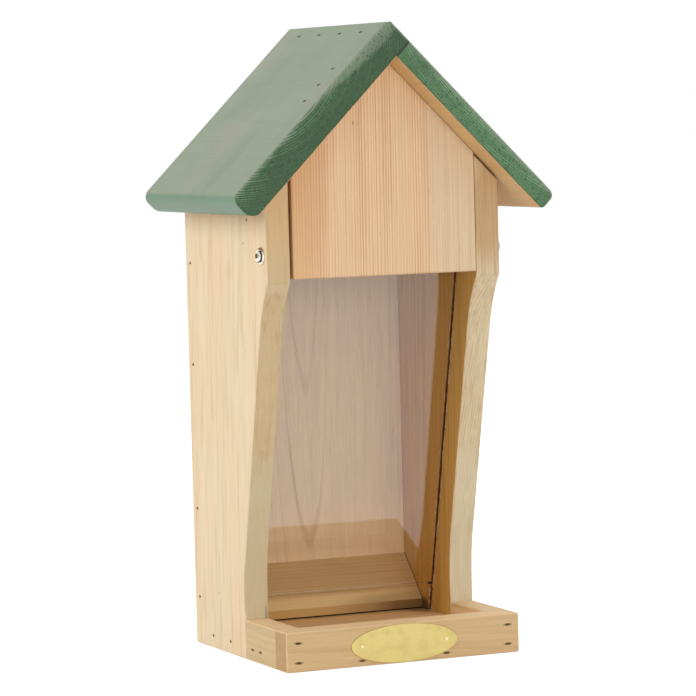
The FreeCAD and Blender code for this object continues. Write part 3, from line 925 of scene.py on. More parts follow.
class Bench:
    """Modelling by hand: one mesh at a time, in edit mode."""

    SAME_POINT = 0.002 * MM
    SMOOTH_BELOW = math.radians(35)

    @staticmethod
    def clear() -> None:
        """Let go of everything that is selected."""
        bpy.ops.object.select_all(action="DESELECT")

    @staticmethod
    def take(piece: Piece) -> None:
        """Select one piece alone."""
        Bench.clear()
        piece.select_set(True)
        bpy.context.view_layer.objects.active = piece

    @staticmethod
    def pick(test: Callable[[bmesh.types.BMFace], bool]) -> None:
        """Select the faces of the mesh being edited that pass a test."""
        bpy.ops.mesh.select_mode(type="FACE")
        bpy.ops.mesh.select_all(action="DESELECT")
        mesh = bpy.context.object.data
        edited = bmesh.from_edit_mesh(mesh)
        for face in edited.faces:
            face.select_set(test(face))
        bmesh.update_edit_mesh(mesh)

    @staticmethod
    def block(name: str, sides: Point) -> Piece:
        """Start from a block round the origin, with sides in millimetres, and go into edit mode."""
        Bench.clear()
        bpy.ops.mesh.primitive_cube_add(size=1)
        piece = bpy.context.object
        piece.name = name
        bpy.ops.object.mode_set(mode="EDIT")
        bpy.ops.transform.resize(value=metres(sides))
        return piece

    @staticmethod
    def turn(name: str, profile: Profile, sides: int, hollow: bool = False) -> Piece:
        """Turn a piece about Z, as on a lathe: a ring is extruded along a profile and scaled at each step.

        Args:
            name: The piece's name.
            profile: Radius and height in millimetres, point by point.
            sides: Number of sides of the ring.
            hollow: Whether the profile runs round a wall and ends where it began.

        Returns:
            The piece, out of edit mode.
        """
        Bench.clear()
        radius, height = profile[0]
        fill = "NOTHING" if hollow else "NGON"
        bpy.ops.mesh.primitive_circle_add(vertices=sides, radius=radius * MM, fill_type=fill)
        piece = bpy.context.object
        piece.name = name
        bpy.ops.object.mode_set(mode="EDIT")
        bpy.ops.mesh.select_mode(type="VERT")
        bpy.ops.mesh.select_all(action="SELECT")
        bpy.ops.transform.translate(value=(0, 0, height * MM))
        for next_radius, next_height in profile[1:]:
            Bench.draw_out(next_height - height)
            ratio = next_radius / radius
            bpy.ops.transform.resize(value=(ratio, ratio, 1), center_override=(0, 0, next_height * MM))
            radius, height = next_radius, next_height
        Bench.close()
        return piece

    @staticmethod
    def draw_out(height: float) -> None:
        """Extrude what is selected along Z, by a height in millimetres."""
        bpy.ops.mesh.extrude_region_move(TRANSFORM_OT_translate={"value": (0, 0, height * MM)})

    @staticmethod
    def close() -> None:
        """Merge doubles, turn the faces outwards and leave edit mode."""
        bpy.ops.mesh.select_all(action="SELECT")
        bpy.ops.mesh.remove_doubles(threshold=Bench.SAME_POINT)
        bpy.ops.mesh.normals_make_consistent(inside=False)
        bpy.ops.object.mode_set(mode="OBJECT")

    @staticmethod
    def carve(piece: Piece, cutter: Piece) -> None:
        """Cut one piece out of another, and drop the cutter."""
        Bench.take(piece)
        cut = piece.modifiers.new("carve", "BOOLEAN")
        cut.object = cutter
        cut.operation = "DIFFERENCE"
        bpy.ops.object.modifier_apply(modifier=cut.name)
        bpy.data.objects.remove(cutter)

    @staticmethod
    def seat(piece: Piece, place: Vector, axis: Vector, across: Vector) -> None:
        """Move a piece's mesh from the bench to its place, with its Z along an axis and its X across."""
        turn = Matrix((across, axis.cross(across), axis)).transposed()
        piece.matrix_world = Matrix.LocRotScale(place, turn.to_quaternion(), None)
        Bench.take(piece)
        bpy.ops.object.transform_apply(location=True, rotation=True, scale=True)

    @staticmethod
    def copy(piece: Piece) -> Piece:
        """A second piece with a mesh of its own."""
        twin = piece.copy()
        twin.data = piece.data.copy()
        bpy.context.scene.collection.objects.link(twin)
        return twin

    @staticmethod
    def join(pieces: Sequence[Piece], name: str) -> Piece:
        """Make one object of several pieces that stay separate shells."""
        Bench.take(pieces[0])
        for piece in pieces:
            piece.select_set(True)
        if len(pieces) > 1:
            bpy.ops.object.join()
        pieces[0].name = name
        pieces[0].data.name = name
        return pieces[0]

    @staticmethod
    def hand_over(piece: Piece, material: Material, body: str, slot: str, *nodes: str) -> None:
        """Finish a piece and let it stand for its CAD nodes.

        Args:
            piece: The finished piece.
            material: Its material.
            body: The body that it rides on.
            slot: The record's material slot; not used.
            nodes: The CAD nodes that it replaces.
        """
        Bench.take(piece)
        bpy.ops.object.shade_smooth_by_angle(angle=Bench.SMOOTH_BELOW)
        flat = piece.modifiers.new("flat_faces", "WEIGHTED_NORMAL")
        flat.keep_sharp = True
        bpy.ops.object.modifier_apply(modifier=flat.name)
        piece.data.materials.clear()
        piece.data.materials.append(material)
        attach(piece, body)
        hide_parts(*nodes)
        LOG.info("built %s with %d faces", piece.name, len(piece.data.polygons))


SAME_CORNER = 0.005 * MM


def separate_solids(node: str) -> list[np.ndarray]:
    """The corner points of each solid in a CAD node, from the lowest X, Y and Z upwards."""
    merged = bmesh.new()
    merged.from_mesh(NODES[node].data)
    bmesh.ops.remove_doubles(merged, verts=merged.verts, dist=SAME_CORNER)
    left = set(merged.verts)
    solids = []
    for seed in list(merged.verts):
        if seed not in left:
            continue
        left.discard(seed)
        found = [seed]
        for corner in found:
            for edge in corner.link_edges:
                other = edge.other_vert(corner)
                if other in left:
                    left.discard(other)
                    found.append(other)
        solids.append(np.array([corner.co for corner in found]))
    merged.free()
    return sorted(solids, key=lambda solid: tuple(np.round(solid.mean(axis=0), 5)))


@dataclass(frozen=True)
class Nailed:
    """Where one brad was driven.

    Attributes:
        head: Middle of the head's place in the board's face.
        inward: The way it was driven.
        across: The way that its head is long.
    """

    head: Vector
    inward: Vector
    across: Vector

    END_SLICE = 0.3 * MM
    LENGTHWISE = 0.7
    LONG_SLIT, SHORT_SLIT, SLIT_WIDTH = 4.0, 1.6, 1.0

    @classmethod
    def read(cls, solid: np.ndarray) -> "Nailed":
        """Read a brad's place from the corner points of its CAD solid."""
        middle = solid.mean(axis=0)
        axes = np.linalg.svd(solid - middle)[2]
        along = (solid - middle) @ axes[0]
        spread = (solid - middle) @ axes[1]
        near = np.ptp(spread[along > along.max() - cls.END_SLICE])
        far = np.ptp(spread[along < along.min() + cls.END_SLICE])
        outward = axes[0] if near > far else -axes[0]
        along = (solid - middle) @ outward
        head = solid[along > along.max() - cls.END_SLICE].mean(axis=0)
        return cls(Vector(head), -Vector(outward).normalized(), Vector(axes[1]).normalized())

    def dent(self, grain: Grain) -> Mark:
        """The slit over the head, which is longer where the head lies along the grain."""
        lengthwise = abs(self.across.dot(Vector(grain.axis))) > self.LENGTHWISE
        slit = self.LONG_SLIT if lengthwise else self.SHORT_SLIT
        reach = tuple(slit if fibres else self.SLIT_WIDTH for fibres in grain.axis)
        return Mark(tuple(value / MM for value in self.head), reach, strength=0.7, depth=0.8)


@dataclass
class Brads:
    """The brads of one joint: flat wire with a T head, driven a little under the surface.

    Attributes:
        node: Their CAD node.
        body: The body that they ride on.
        boards: The boards that show their heads.
        width, thickness, length: Size of the wire, in millimetres.
        head_width, head_foot: Width of the head, and depth of its shoulder.
        sink: Depth of the head under the board's face.
        point: Length of the chisel point.
    """

    node: str
    body: str
    boards: tuple[str, ...]
    width: float = 1.6
    thickness: float = 1.4
    length: float = 34.0
    head_width: float = 3.0
    head_foot: float = 0.9
    sink: float = 0.22
    point: float = 2.5

    POINT_TAPER = (0.15, 0.9, 1)
    BROKEN_EDGE = 0.16

    def model(self) -> Piece:
        """Model one brad with its head towards +Z, and the board's face at nought."""
        shank_end = self.length - self.point
        shank = shank_end - self.head_foot
        brad = Bench.block(self.node, (self.width, self.thickness, shank))
        bpy.ops.transform.translate(value=(0, 0, -(self.head_foot + shank / 2) * MM))
        Bench.pick(lambda face: face.normal.z < -0.9)
        Bench.draw_out(-self.point)
        bpy.ops.transform.resize(value=self.POINT_TAPER)
        Bench.pick(lambda face: face.normal.z > 0.9)
        Bench.draw_out(0)
        bpy.ops.transform.resize(value=(self.head_width / self.width, 1, 1))
        Bench.draw_out(self.head_foot - self.sink)
        bpy.ops.mesh.bevel(offset=self.BROKEN_EDGE * MM, segments=2, affect="EDGES")
        Bench.close()
        return brad

    def build(self, material: Material) -> list[Nailed]:
        """Drive a brad at each place of the CAD node.

        Args:
            material: The brads' steel.

        Returns:
            Where each one was driven.
        """
        places = [Nailed.read(solid) for solid in separate_solids(self.node)]
        first = self.model()
        brads = [first] + [Bench.copy(first) for _ in places[1:]]
        for brad, place in zip(brads, places):
            Bench.seat(brad, place.head, -place.inward, place.across)
        driven = Bench.join(brads, self.node + "_driven")
        Bench.hand_over(driven, material, self.body, "brad_steel", self.node)
        return places

    def board_of(self, place: Nailed) -> str:
        """The board whose face shows a head."""
        inside = place.head + place.inward * MM
        for board in self.boards:
            low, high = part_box(board)
            if all(a <= value <= b for a, value, b in zip(low, inside, high)):
                return board
        raise ValueError(f"no board of {self.node} holds a brad at {tuple(place.head)}")


@dataclass
class PivotFitting:
    """A countersunk screw in a cup washer, on which the lid swings.

    Attributes:
        side: Which of the two it is.
        outward: 1 on the right and -1 on the left.
        shank, head, grip_end, point: Radii and lengths of the screw, in millimetres from the panel's face.
        seat: Height of the head's rim, which lies a little inside the washer.
        dome: Height of the head's dome over the rim.
        recess_width, recess_arm, recess_depth: The cross recess.
        recess_foot: Width of the recess at its foot, as a share of that at its mouth.
        sides, washer_sides: Number of sides of the screw and of the washer.
    """

    side: str
    outward: int
    shank: float = 2.0
    head: float = 3.3
    grip_end: float = -39.3
    point: float = 5.0
    seat: float = 1.42
    dome: float = 0.8
    recess_width: float = 0.8
    recess_arm: float = 1.9
    recess_depth: float = 1.5
    recess_foot: float = 0.45
    sides: int = 40
    washer_sides: int = 56

    RECESS_ACROSS = (0.8, 0.6, 0)
    WASHER = (
        (2.35, 0.0), (5.45, 0.0), (5.63, 0.1), (5.65, 0.35), (5.52, 0.75), (5.22, 1.2), (4.85, 1.62),
        (4.6, 1.88), (4.45, 2.02), (4.32, 2.09), (4.2, 2.08), (4.12, 2.0), (2.42, 0.38), (2.35, 0.26),
        (2.35, 0.0),
    )

    @staticmethod
    def axis_point() -> tuple[float, ...]:
        """A point of the line on which the lid swings."""
        return tuple(joint_named("lid_tilt")["pos_m"])

    def seat_at(self, piece: Piece) -> None:
        """Put a piece at the pivot, on the outer face of its side panel."""
        _, y, z = self.axis_point()
        low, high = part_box(self.side + "_side_panel")
        face = high.x if self.outward > 0 else low.x
        Bench.seat(piece, Vector((face, y, z)), Vector((self.outward, 0, 0)), Vector(BACK))

    def dome_profile(self) -> list[tuple[float, float]]:
        """The head's rounded top, from its rim to its middle."""
        ball = (self.head ** 2 + self.dome ** 2) / (2 * self.dome)
        middle = self.seat + self.dome - ball
        radii = [self.head * share for share in (0.98, 0.92, 0.82, 0.7, 0.55, 0.4, 0.2)]
        return [(radius, middle + math.sqrt(ball ** 2 - radius ** 2)) for radius in radii]

    def recess(self) -> Piece:
        """The cutter for the cross recess: a post with four arms, narrower at its foot."""
        cutter = Bench.block("recess", (self.recess_width, self.recess_width, 2 * self.recess_depth))
        Bench.pick(lambda face: abs(face.normal.z) < 0.1)
        bpy.ops.mesh.extrude_faces_move(
            TRANSFORM_OT_shrink_fatten={"value": (self.recess_arm - self.recess_width / 2) * MM}
        )
        Bench.pick(lambda face: face.normal.z < -0.9)
        bpy.ops.transform.resize(value=(self.recess_foot, self.recess_foot, 1))
        Bench.close()
        top = self.seat + self.dome
        Bench.seat(cutter, Vector((0, 0, top * MM)), Vector(UP), Vector(self.RECESS_ACROSS))
        return cutter

    def build(self, material: Material) -> None:
        """Model the screw and the washer."""
        profile = [
            (0.15, self.grip_end),
            (self.shank * 0.55, self.grip_end + self.point * 0.45),
            (self.shank, self.grip_end + self.point),
            (self.shank, 0.12),
            (self.head * 0.985, self.seat - 0.05),
            (self.head, self.seat),
        ]
        screw = Bench.turn(self.side + "_pivot_screw_head", profile + self.dome_profile(), self.sides)
        Bench.carve(screw, self.recess())
        self.seat_at(screw)
        Bench.hand_over(screw, material, "roof_lid", "plated_steel", self.side + "_pivot_screw")
        washer = Bench.turn(self.side + "_cup_washer_ring", self.WASHER, self.washer_sides, hollow=True)
        self.seat_at(washer)
        Bench.hand_over(washer, material, "house", "plated_steel", self.side + "_cup_washer")


@dataclass
class OvalPlate:
    """The blank oval plate on the tray front, with its two pins.

    Attributes:
        rim: Width of the rolled edge, in millimetres.
        sides: Number of sides of the oval.
        pin_sides: Number of sides of a pin.
        pin_profile: Radius and height of a pin, from its point to the top of its head.
    """

    rim: float = 0.35
    sides: int = 96
    pin_sides: int = 24
    pin_profile: Profile = (
        (0.12, -9.0), (0.7, -8.0), (0.7, 0.0), (1.14, 0.0), (1.2, 0.08), (1.18, 0.2), (1.05, 0.32),
        (0.75, 0.38), (0.3, 0.4),
    )

    def build(self, material: Material, pin_material: Material) -> None:
        """Model the plate and its pins."""
        low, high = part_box("oval_plate")
        middle, half = (low + high) / 2, (high - low) / 2
        Bench.clear()
        bpy.ops.mesh.primitive_circle_add(vertices=self.sides, radius=1, fill_type="NGON")
        plate = bpy.context.object
        plate.name = "oval_plate_blank"
        bpy.ops.object.mode_set(mode="EDIT")
        bpy.ops.transform.resize(value=(half.x, half.z, 1))
        Bench.draw_out(2 * half.y / MM)
        Bench.pick(lambda face: face.normal.z > 0.9 and face.calc_center_median().z > half.y)
        bpy.ops.mesh.bevel(offset=self.rim * MM, segments=3, affect="EDGES")
        Bench.close()
        Bench.seat(plate, Vector((middle.x, high.y, middle.z)), Vector(FRONT), Vector(RIGHT))
        Bench.hand_over(plate, material, "house", "plate_brass", "oval_plate")

        pins = []
        for solid in separate_solids("plate_pins"):
            place = (Vector(solid.min(axis=0)) + Vector(solid.max(axis=0))) / 2
            place.y = low.y
            pin = Bench.turn("plate_pin", self.pin_profile, self.pin_sides)
            Bench.seat(pin, place, Vector(FRONT), Vector(RIGHT))
            pins.append(pin)
        joined = Bench.join(pins, "plate_pins_round")
        Bench.hand_over(joined, pin_material, "house", "plate_brass", "plate_pins")


@dataclass
class SeedPane:
    """The clear sheet in the kerfs, with its edges broken.

    Attributes:
        thickness: Of the sheet, in millimetres.
        edge: Width of the broken edges.
        clear_width: How far from the middle it shows between the kerfs.
    """

    thickness: float = 2.0
    edge: float = 0.25
    clear_width: float = 63.3

    @staticmethod
    def upward() -> Vector:
        """The direction in which the pane slides up."""
        return Vector(joint_named("pane_lift")["axis"]).normalized()

    @staticmethod
    def square() -> Vector:
        """The direction that its back face looks."""
        up = SeedPane.upward()
        return Vector((0, up.z, -up.y))

    def build(self) -> None:
        """Model the sheet and dress it."""
        low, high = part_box("seed_pane")
        up, square = self.upward(), self.square()
        length = (high.z - low.z) / MM - self.thickness * abs(square.z)
        sides = ((high.x - low.x) / MM, self.thickness, length / up.z)
        pane = Bench.block("seed_pane_sheet", sides)
        bpy.ops.mesh.select_all(action="SELECT")
        bpy.ops.mesh.bevel(offset=self.edge * MM, segments=1, affect="EDGES")
        Bench.close()
        Bench.seat(pane, (low + high) / 2, up, Vector(RIGHT))
        material = ClearSheet(WHITE, tuple(square), self.clear_width).material()
        Bench.hand_over(pane, material, "pane", "clear_acrylic", "seed_pane")


@dataclass
class StopPins:
    """The two headless nails on which the pane stands.

    Attributes:
        radius: Of the wire, in millimetres.
        point: Length of the point.
        sides: Number of sides of the wire.
    """

    radius: float = 0.7
    point: float = 2.5
    sides: int = 20

    def build(self, material: Material) -> None:
        """Model the nails at the places of the CAD pins."""
        pins = []
        for solid in separate_solids("pane_stop_pins"):
            low, high = Vector(solid.min(axis=0)), Vector(solid.max(axis=0))
            length = (high.x - low.x) / MM
            profile = [
                (self.radius * 0.1, -length),
                (self.radius, -length + self.point),
                (self.radius, -0.35),
                (self.radius * 0.9, -0.12),
                (self.radius * 0.65, 0.0),
            ]
            middle = (low + high) / 2
            middle.z = high.z - self.radius * MM
            inner_end = high.x if middle.x < 0 else low.x
            inward = 1 if middle.x < 0 else -1
            pin = Bench.turn("stop_pin", profile, self.sides)
            place = Vector((inner_end, middle.y, middle.z))
            Bench.seat(pin, place, Vector((inward, 0, 0)), Vector(BACK))
            pins.append(pin)
        nails = Bench.join(pins, "pane_stop_nails")
        Bench.hand_over(nails, material, "house", "brad_steel", "pane_stop_pins")


@dataclass(frozen=True)
class Lamp:
    """A soft box that faces the house.

    Attributes:
        name: The lamp's name.
        place: Where it hangs, in metres.
        size: Its width and height, in metres.
        power: Its power in watts.
    """

    name: str
    place: Point
    size: tuple[float, float]
    power: float

    AIM = Vector((0, 0, 0.2))

    def hang(self) -> None:
        """Hang the lamp in the studio."""
        lamp = bpy.data.lights.new(self.name, "AREA")
        lamp.shape = "RECTANGLE"
        lamp.size, lamp.size_y = self.size
        lamp.energy = self.power
        holder = bpy.data.objects.new(self.name, lamp)
        bpy.context.scene.collection.objects.link(holder)
        holder.location = self.place
        holder.rotation_mode = "QUATERNION"
        holder.rotation_quaternion = (self.AIM - Vector(self.place)).to_track_quat("-Z", "Y")


def seen_directly(graph: Graph) -> Socket:
    """1 where the camera sees a thing, also in a polished face or through the pane, and 0 for its light."""
    path = graph.add("ShaderNodeLightPath").outputs
    seen = graph.math("MAXIMUM", path["Is Camera Ray"], path["Is Transmission Ray"])
    return graph.math("MAXIMUM", seen, path["Is Glossy Ray"])


@dataclass(frozen=True)
class Studio:
    """White floor, soft lamps and the camera of the photograph.

    Attributes:
        camera_place: Where the camera stands, in metres.
        azimuth, elevation, roll: The way it looks, in degrees.
        lens: Focal length in millimetres on the usual 36 mm sensor.
        ambient: Strength of the light from all round.
        floor_size: Width of the floor, in metres.
        floor_gap: How far it is under the house, in metres.
        floor_colour: The floor's colour.
        floor_glow: What it adds to the light that falls on it, to look white.
        lamps: The soft boxes.
    """

    camera_place: Point = (-0.90813, -2.08611, 0.34971)
    azimuth: float = -23.511
    elevation: float = 3.9248
    roll: float = -1.51
    lens: float = 183.7
    ambient: float = 0.5
    floor_size: float = 16
    floor_gap: float = 0.0003
    floor_colour: Colour = (0.86, 0.86, 0.86, 1)
    floor_glow: float = 0.66
    lamps: tuple[Lamp, ...] = (
        Lamp("key_lamp", (-2.2, 0.1, 1.2), (1.6, 1.6), 31.5),
        Lamp("fill_lamp", (0.1, -2.5, 0.42), (1.5, 0.75), 12.5),
        Lamp("top_lamp", (0.2, -0.9, 2.2), (1.4, 1.4), 9),
        Lamp("back_lamp", (1.9, 1.5, 1.1), (1.4, 1.4), 10),
    )

    SENSOR = 36

    def light_world(self) -> None:
        """A white backdrop, which lights the house more softly than it looks."""
        world = bpy.data.worlds.new("studio")
        bpy.context.scene.world = world
        world.use_nodes = True
        graph = Graph(world.node_tree)
        strength = graph.ease(seen_directly(graph), 0.0, 1.0, self.ambient, 1.0)
        background = graph.add("ShaderNodeBackground", {"Color": WHITE, "Strength": strength})
        graph.add("ShaderNodeOutputWorld", {"Surface": background.outputs[0]})

    def lay_floor(self) -> None:
        """A pale floor that looks white and keeps the shadow."""
        Bench.clear()
        bpy.ops.mesh.primitive_plane_add(size=self.floor_size, location=(0, 0, -self.floor_gap))
        floor = bpy.context.object
        floor.name = "studio_floor"
        material = bpy.data.materials.new("studio_floor")
        material.use_nodes = True
        graph = Graph(material.node_tree)
        matt = graph.add("ShaderNodeBsdfDiffuse", {"Color": self.floor_colour})
        added = graph.times(seen_directly(graph), self.floor_glow)
        glow = graph.add("ShaderNodeEmission", {"Strength": added})
        both = graph.add("ShaderNodeAddShader", {0: matt.outputs[0], 1: glow.outputs[0]})
        graph.add("ShaderNodeOutputMaterial", {"Surface": both.outputs[0]})
        floor.data.materials.append(material)

    def place_camera(self) -> None:
        """Stand the camera where the photograph was taken."""
        azimuth, elevation = math.radians(self.azimuth), math.radians(self.elevation)
        back = Vector((
            math.sin(azimuth) * math.cos(elevation),
            -math.cos(azimuth) * math.cos(elevation),
            math.sin(elevation),
        ))
        right = Vector((math.cos(azimuth), math.sin(azimuth), 0))
        level = Matrix((right, back.cross(right), back)).transposed()
        turn = level @ Matrix.Rotation(math.radians(self.roll), 3, "Z")
        camera = bpy.data.cameras.new("camera")
        camera.lens = self.lens
        camera.sensor_width = self.SENSOR
        holder = bpy.data.objects.new("camera", camera)
        bpy.context.scene.collection.objects.link(holder)
        holder.matrix_world = Matrix.LocRotScale(self.camera_place, turn.to_quaternion(), None)
        bpy.context.scene.camera = holder

    def build(self) -> None:
        """Set the whole studio up."""
        bpy.context.scene.view_settings.view_transform = "Standard"
        self.light_world()
        self.lay_floor()
        for lamp in self.lamps:
            lamp.hang()
        self.place_camera()


# Woods
SIDE_WOOD = BareWood(
    chip(223, 202, 168), chip(200, 168, 124), chip(224, 191, 152), contrast=0.12, blush_amount=0.5,
    fibre=0.18, smudge=0.48,
)
RIGHT_WOOD = BareWood(
    chip(226, 205, 170), chip(194, 158, 112), chip(222, 190, 150), contrast=0.6, blush_amount=0.4,
    fibre=0.35, smudge=0.4,
)
GABLE_WOOD = BareWood(
    chip(237, 202, 159), chip(196, 132, 90), chip(231, 174, 138), chip(227, 200, 162), contrast=0.85,
    blush_amount=0.6,
)
BACK_WOOD = BareWood(
    chip(231, 203, 165), chip(188, 150, 108), chip(226, 193, 156), chip(232, 204, 166), contrast=0.75,
    blush_amount=0.4, fibre=0.32,
)
TRAY_WOOD = BareWood(
    chip(229, 195, 148), chip(202, 160, 108), chip(228, 186, 140), contrast=0.4, blush_amount=0.3, fibre=0.26
)
INNER_WOOD = BareWood(
    chip(235, 194, 138), chip(196, 147, 92), chip(225, 177, 122), contrast=0.5, blush_amount=0.3, fibre=0.26
)
RAMP_WOOD = BareWood(
    chip(250, 212, 154), chip(206, 156, 100), chip(238, 190, 134), contrast=0.5, blush_amount=0.3, fibre=0.26
)
EAVE_WOOD = BareWood(chip(214, 178, 124), chip(196, 150, 98), chip(214, 172, 120), contrast=0.4)

# Faces that differ, some by painted shade
LEFT_EDGE = Tone(FRONT, chip(240, 233, 215))
RIGHT_EDGE = Tone(FRONT, chip(250, 250, 246))
# Painted shade inside the house: the inner faces of the side panels darker and warmer than their outer faces
LEFT_INSIDE_SHADE = Tone(RIGHT, chip(238, 212, 150))
RIGHT_INSIDE_SHADE = Tone(LEFT, chip(244, 210, 138))
TRAY_LEFT = Tone(LEFT, chip(223, 228, 225))
TRAY_END = Tone(LEFT, chip(219, 208, 187))
TRAY_FACE = Tone(FRONT, chip(241, 240, 233))
# Painted light on the ramp's other faces: its slope is darker than they are
RAMP_SLOPE = Tone((0, -SLOPE, SLOPE), chip(214, 207, 198))

# Painted shade in the gaps under and beside the ramp
UNDER_RAMP_SHADE = chip(40, 20, 6)
BESIDE_RAMP_SHADE = chip(78, 44, 14)

# How far the inner faces of the side panels are from the middle, in millimetres
PANEL_INSIDE = 64

BOARDS = [
    Board(
        "left_side_panel", SIDE_WOOD, BoardCut(Grain.UPRIGHT, (-142, 20, 0), (2, 0, 0), 2.2, 5, 1.0),
        [
            Mark((-65.6, -8, 27.5), (0.9, 3, 8), chip(74, 44, 22), 0.85),
            Mark((-80, -29, 279.4), (2, 2.2, 1.0), chip(92, 62, 36), 0.8),
            Mark((-80, -22.4, 264.5), (1, 0.9, 1.1), chip(120, 84, 54), 0.8),
            Mark((-80, 36.6, 37.3), (1, 0.8, 1.4), chip(150, 112, 74), 0.7),
            Mark.stain_or_painted_light((-80, 4, 246), (3, 6, 9), chip(206, 170, 128), 0.3),
            Mark.stain_or_painted_light((-72, -15, 70), (60, 60, 80), chip(209, 198, 165), 0.5, FRONT),
            Mark.stain_or_painted_light((-72, -60, 300), (60, 60, 60), chip(226, 184, 130), 0.4, FRONT),
        ],
        (LEFT_EDGE, LEFT_INSIDE_SHADE), RIGHT,
    ),
    Board(
        "right_side_panel", RIGHT_WOOD, BoardCut(Grain.UPRIGHT, (142, 20, 0), (2, 0, 0), 1.7, 4, 2.0),
        [
            # Painted shadow of the roof's overhang on the top of the front edge
            Mark.stain_or_painted_light((72, -58, 282), (18, 12, 46), chip(190, 146, 92), 0.65),
            # Painted shade in the corner at the foot of the inner face, beside the ramp
            Mark.stain_or_painted_light((PANEL_INSIDE, 33, 17), (3, 10, 9), chip(66, 38, 20), 0.75, LEFT),
            Mark.stain_or_painted_light((72, -15, 70), (60, 60, 80), chip(221, 212, 182), 0.45, FRONT),
        ],
        (RIGHT_EDGE, RIGHT_INSIDE_SHADE), LEFT,
    ),
    Board(
        "back_board", BACK_WOOD, BoardCut(Grain.UPRIGHT, (-5, 88.1, 0), (3.8, 0, 0), 6.0, 3, 3.0, 10.0, 0.8),
        [Mark.stain_or_painted_light((0, 63, 50), (900, 10, 45), chip(248, 214, 160), 0.35, FRONT)],
    ),
    Board(
        "floor_board", INNER_WOOD, BoardCut(Grain.ACROSS, (0, 20, -60), (0, 1, 2), 2.4, 4, 4.0),
        [
            # Painted shade on the floor under the ramp
            Mark.stain_or_painted_light((0, 48, 16), (900, 15, 3), UNDER_RAMP_SHADE, 0.95, UP),
            # Painted shadow in the corner of the floor at the foot of the right panel
            Mark.stain_or_painted_light((PANEL_INSIDE, 33, 16), (20, 22, 6), chip(96, 62, 24), 0.6, UP),
        ],
    ),
    Board(
        "seed_ramp", RAMP_WOOD, BoardCut(Grain.ACROSS, (0, 60, 100), (0, 1, 1), 2.2, 4, 5.0),
        [
            # Painted light: a paler strip low on the ramp, below the pane's lower edge
            Mark.stain_or_painted_light((0, 37, 24.5), (300, 9, 9), chip(255, 220, 158), 0.6),
            # Painted shade on the ramp's front nose
            Mark.stain_or_painted_light((0, 35, 20), (900, 30, 30), chip(204, 161, 96), 0.9, FRONT),
            # Painted shade towards the ramp's right end and on its nose there, in the corner against the
            # right panel
            Mark.stain_or_painted_light((PANEL_INSIDE, 35, 20), (75, 14, 14), chip(100, 68, 12), 0.4),
            Mark.stain_or_painted_light((PANEL_INSIDE, 35, 20), (40, 14, 14), chip(92, 60, 10), 0.65, FRONT),
            # Painted shade on the ramp's underside
            Mark.stain_or_painted_light((0, 49, 17), (900, 40, 5), UNDER_RAMP_SHADE, 0.95, DOWN),
            # Painted shade in the gaps between the ramp's ends and the side panels
            Mark.stain_or_painted_light((PANEL_INSIDE, 45, 30), (0.9, 300, 300), BESIDE_RAMP_SHADE, 0.85),
            Mark.stain_or_painted_light((-PANEL_INSIDE, 45, 30), (0.9, 300, 300), BESIDE_RAMP_SHADE, 0.85),
        ],
        (RAMP_SLOPE,),
    ),
    Board(
        "tray_left_side", TRAY_WOOD, BoardCut(Grain.DEEP, (-140, 0, 40), (0, 0, 1), 2.0, 4, 6.0),
        tones=(TRAY_LEFT,),
    ),
    Board("tray_right_side", TRAY_WOOD, BoardCut(Grain.DEEP, (140, 0, 50), (0, 0, 1), 2.0, 4, 7.0)),
    Board(
        "tray_front_board", TRAY_WOOD, BoardCut(Grain.ACROSS, (0, -150, 30), (0, 1, 1), 2.2, 5, 8.0),
        tones=(TRAY_END, TRAY_FACE),
    ),
    Board(
        "gable_board", GABLE_WOOD, BoardCut(Grain.UPRIGHT, (-200, -20, 0), (0, 0.4, 0), 1.9, 2, 9.0, 34.0),
        [
            Mark((-19.1, -59.5, 338), (0.8, 1.5, 1.8), chip(150, 96, 52), 0.7),
            Mark.stain_or_painted_light((-66, -59.5, 290), (34, 30, 100), chip(220, 174, 118), 0.55),
        ],
    ),
]
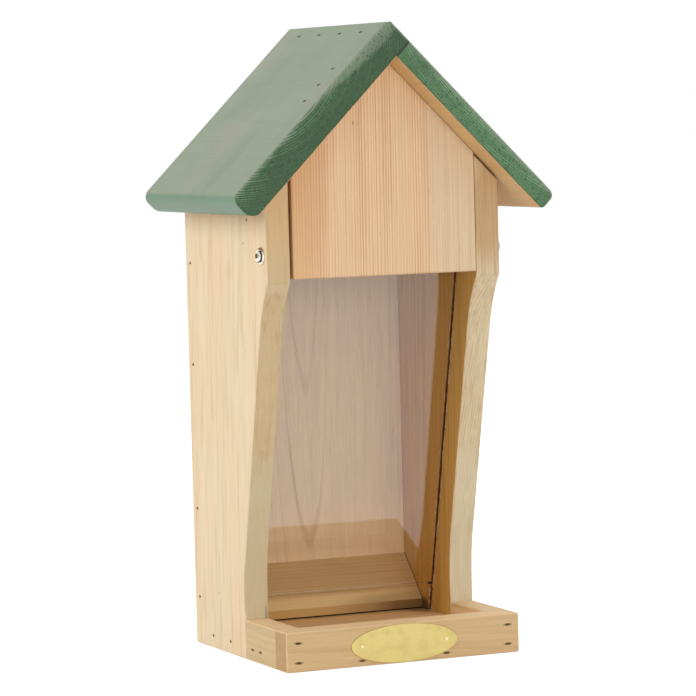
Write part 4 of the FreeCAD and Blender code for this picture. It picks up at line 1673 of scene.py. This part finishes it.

# Painted sheen on the rounded eaves: a paler green than the glaze's deep colour
EAVE_GREEN = chip(94, 122, 98)
ROOF_BOARDS = [
    RoofBoard(
        "left_roof_board", EAVE_WOOD,
        Glaze(
            chip(40, 76, 38), chip(92, 127, 88), chip(125, 137, 115), chip(144, 142, 127), EAVE_GREEN, 0.7
        ),
        BoardCut(Grain.DEEP, (-103.3, 0, 394.3), (0, 0, 0.6), 1.5, 3, 10.0),
        LEFT_OUTWARD, LEFT_UNDERSIDE, thickness=18.8, sheen_rim=1.5, rim_growth=6.0,
        marks=[Mark.stain_or_painted_light((-87.7, -19.5, 314.4), (38, 11, 38), chip(104, 122, 98), 0.4, LEFT_OUTWARD)],
    ),
    RoofBoard(
        "right_roof_board", EAVE_WOOD,
        Glaze(
            chip(70, 112, 70), chip(150, 180, 146), chip(122, 135, 112), chip(140, 139, 123), EAVE_GREEN, 0.75
        ),
        BoardCut(Grain.DEEP, (225, 0, 516), (0, 0, 0.6), 1.5, 3, 11.0),
        RIGHT_OUTWARD, RIGHT_UNDERSIDE, thickness=14.7, sheen_rim=5.0,
        marks=[Mark((9.6, -79, 386.6), (1.5, 2, 1.3), chip(16, 22, 14), 0.95)],
    ),
]

# Metals
BRAD_STEEL = Metal("brad_steel", (0.1, 0.066, 0.04, 1), (0.035, 0.022, 0.012, 1), (900, 900, 900), 0.45, 0.7)
PLATED_STEEL = Metal(
    "plated_steel", (0.66, 0.61, 0.52, 1), (0.42, 0.38, 0.3, 1), (300, 900, 900), 0.16, 0.3,
    (DarkArc(2.7, 5.2, -1, 3.6), DarkArc(3.2, 5.2, 1, 1.6)),
)
PLATE_BRASS = Metal("plate_brass", (0.5, 0.41, 0.157, 1), (0.41, 0.315, 0.112, 1), (60, 400, 2600), 0.3, 0.5)
PIN_BRASS = Metal("pin_brass", (0.66, 0.57, 0.32, 1), (0.5, 0.4, 0.2, 1), (900, 900, 900), 0.25, 0.4)

PANELS = ("left_side_panel", "right_side_panel")
TRAY_SIDES = ("tray_left_side", "tray_right_side")
BRADS = [
    Brads("back_brads", "house", PANELS),
    Brads("floor_brads", "house", PANELS),
    Brads("ramp_brads", "house", ("back_board",)),
    Brads("tray_side_brads", "house", TRAY_SIDES),
    Brads("tray_corner_brads", "house", ("tray_front_board",)),
    Brads("tray_front_brads", "house", ("tray_front_board",)),
    Brads("ridge_brads", "roof_lid", ("left_roof_board",)),
    Brads("gable_brads", "roof_lid", ("left_roof_board", "right_roof_board")),
]


def main() -> None:
    """Build the studio and the fittings, and dress every board."""
    logging.basicConfig(level=logging.INFO, format="%(name)s: %(message)s")
    Studio().build()
    boards = {board.node: board for board in BOARDS + ROOF_BOARDS}

    brad_steel = BRAD_STEEL.material()
    for brads in BRADS:
        for place in brads.build(brad_steel):
            board = boards[brads.board_of(place)]
            board.marks.append(place.dent(board.cut.grain))
    plated_steel = PLATED_STEEL.material()
    for fitting in (PivotFitting("left", -1), PivotFitting("right", 1)):
        fitting.build(plated_steel)
    OvalPlate().build(PLATE_BRASS.material(), PIN_BRASS.material())
    SeedPane().build()
    StopPins().build(brad_steel)
    for board in boards.values():
        dress(board)


if __name__ == "__main__":
    main()
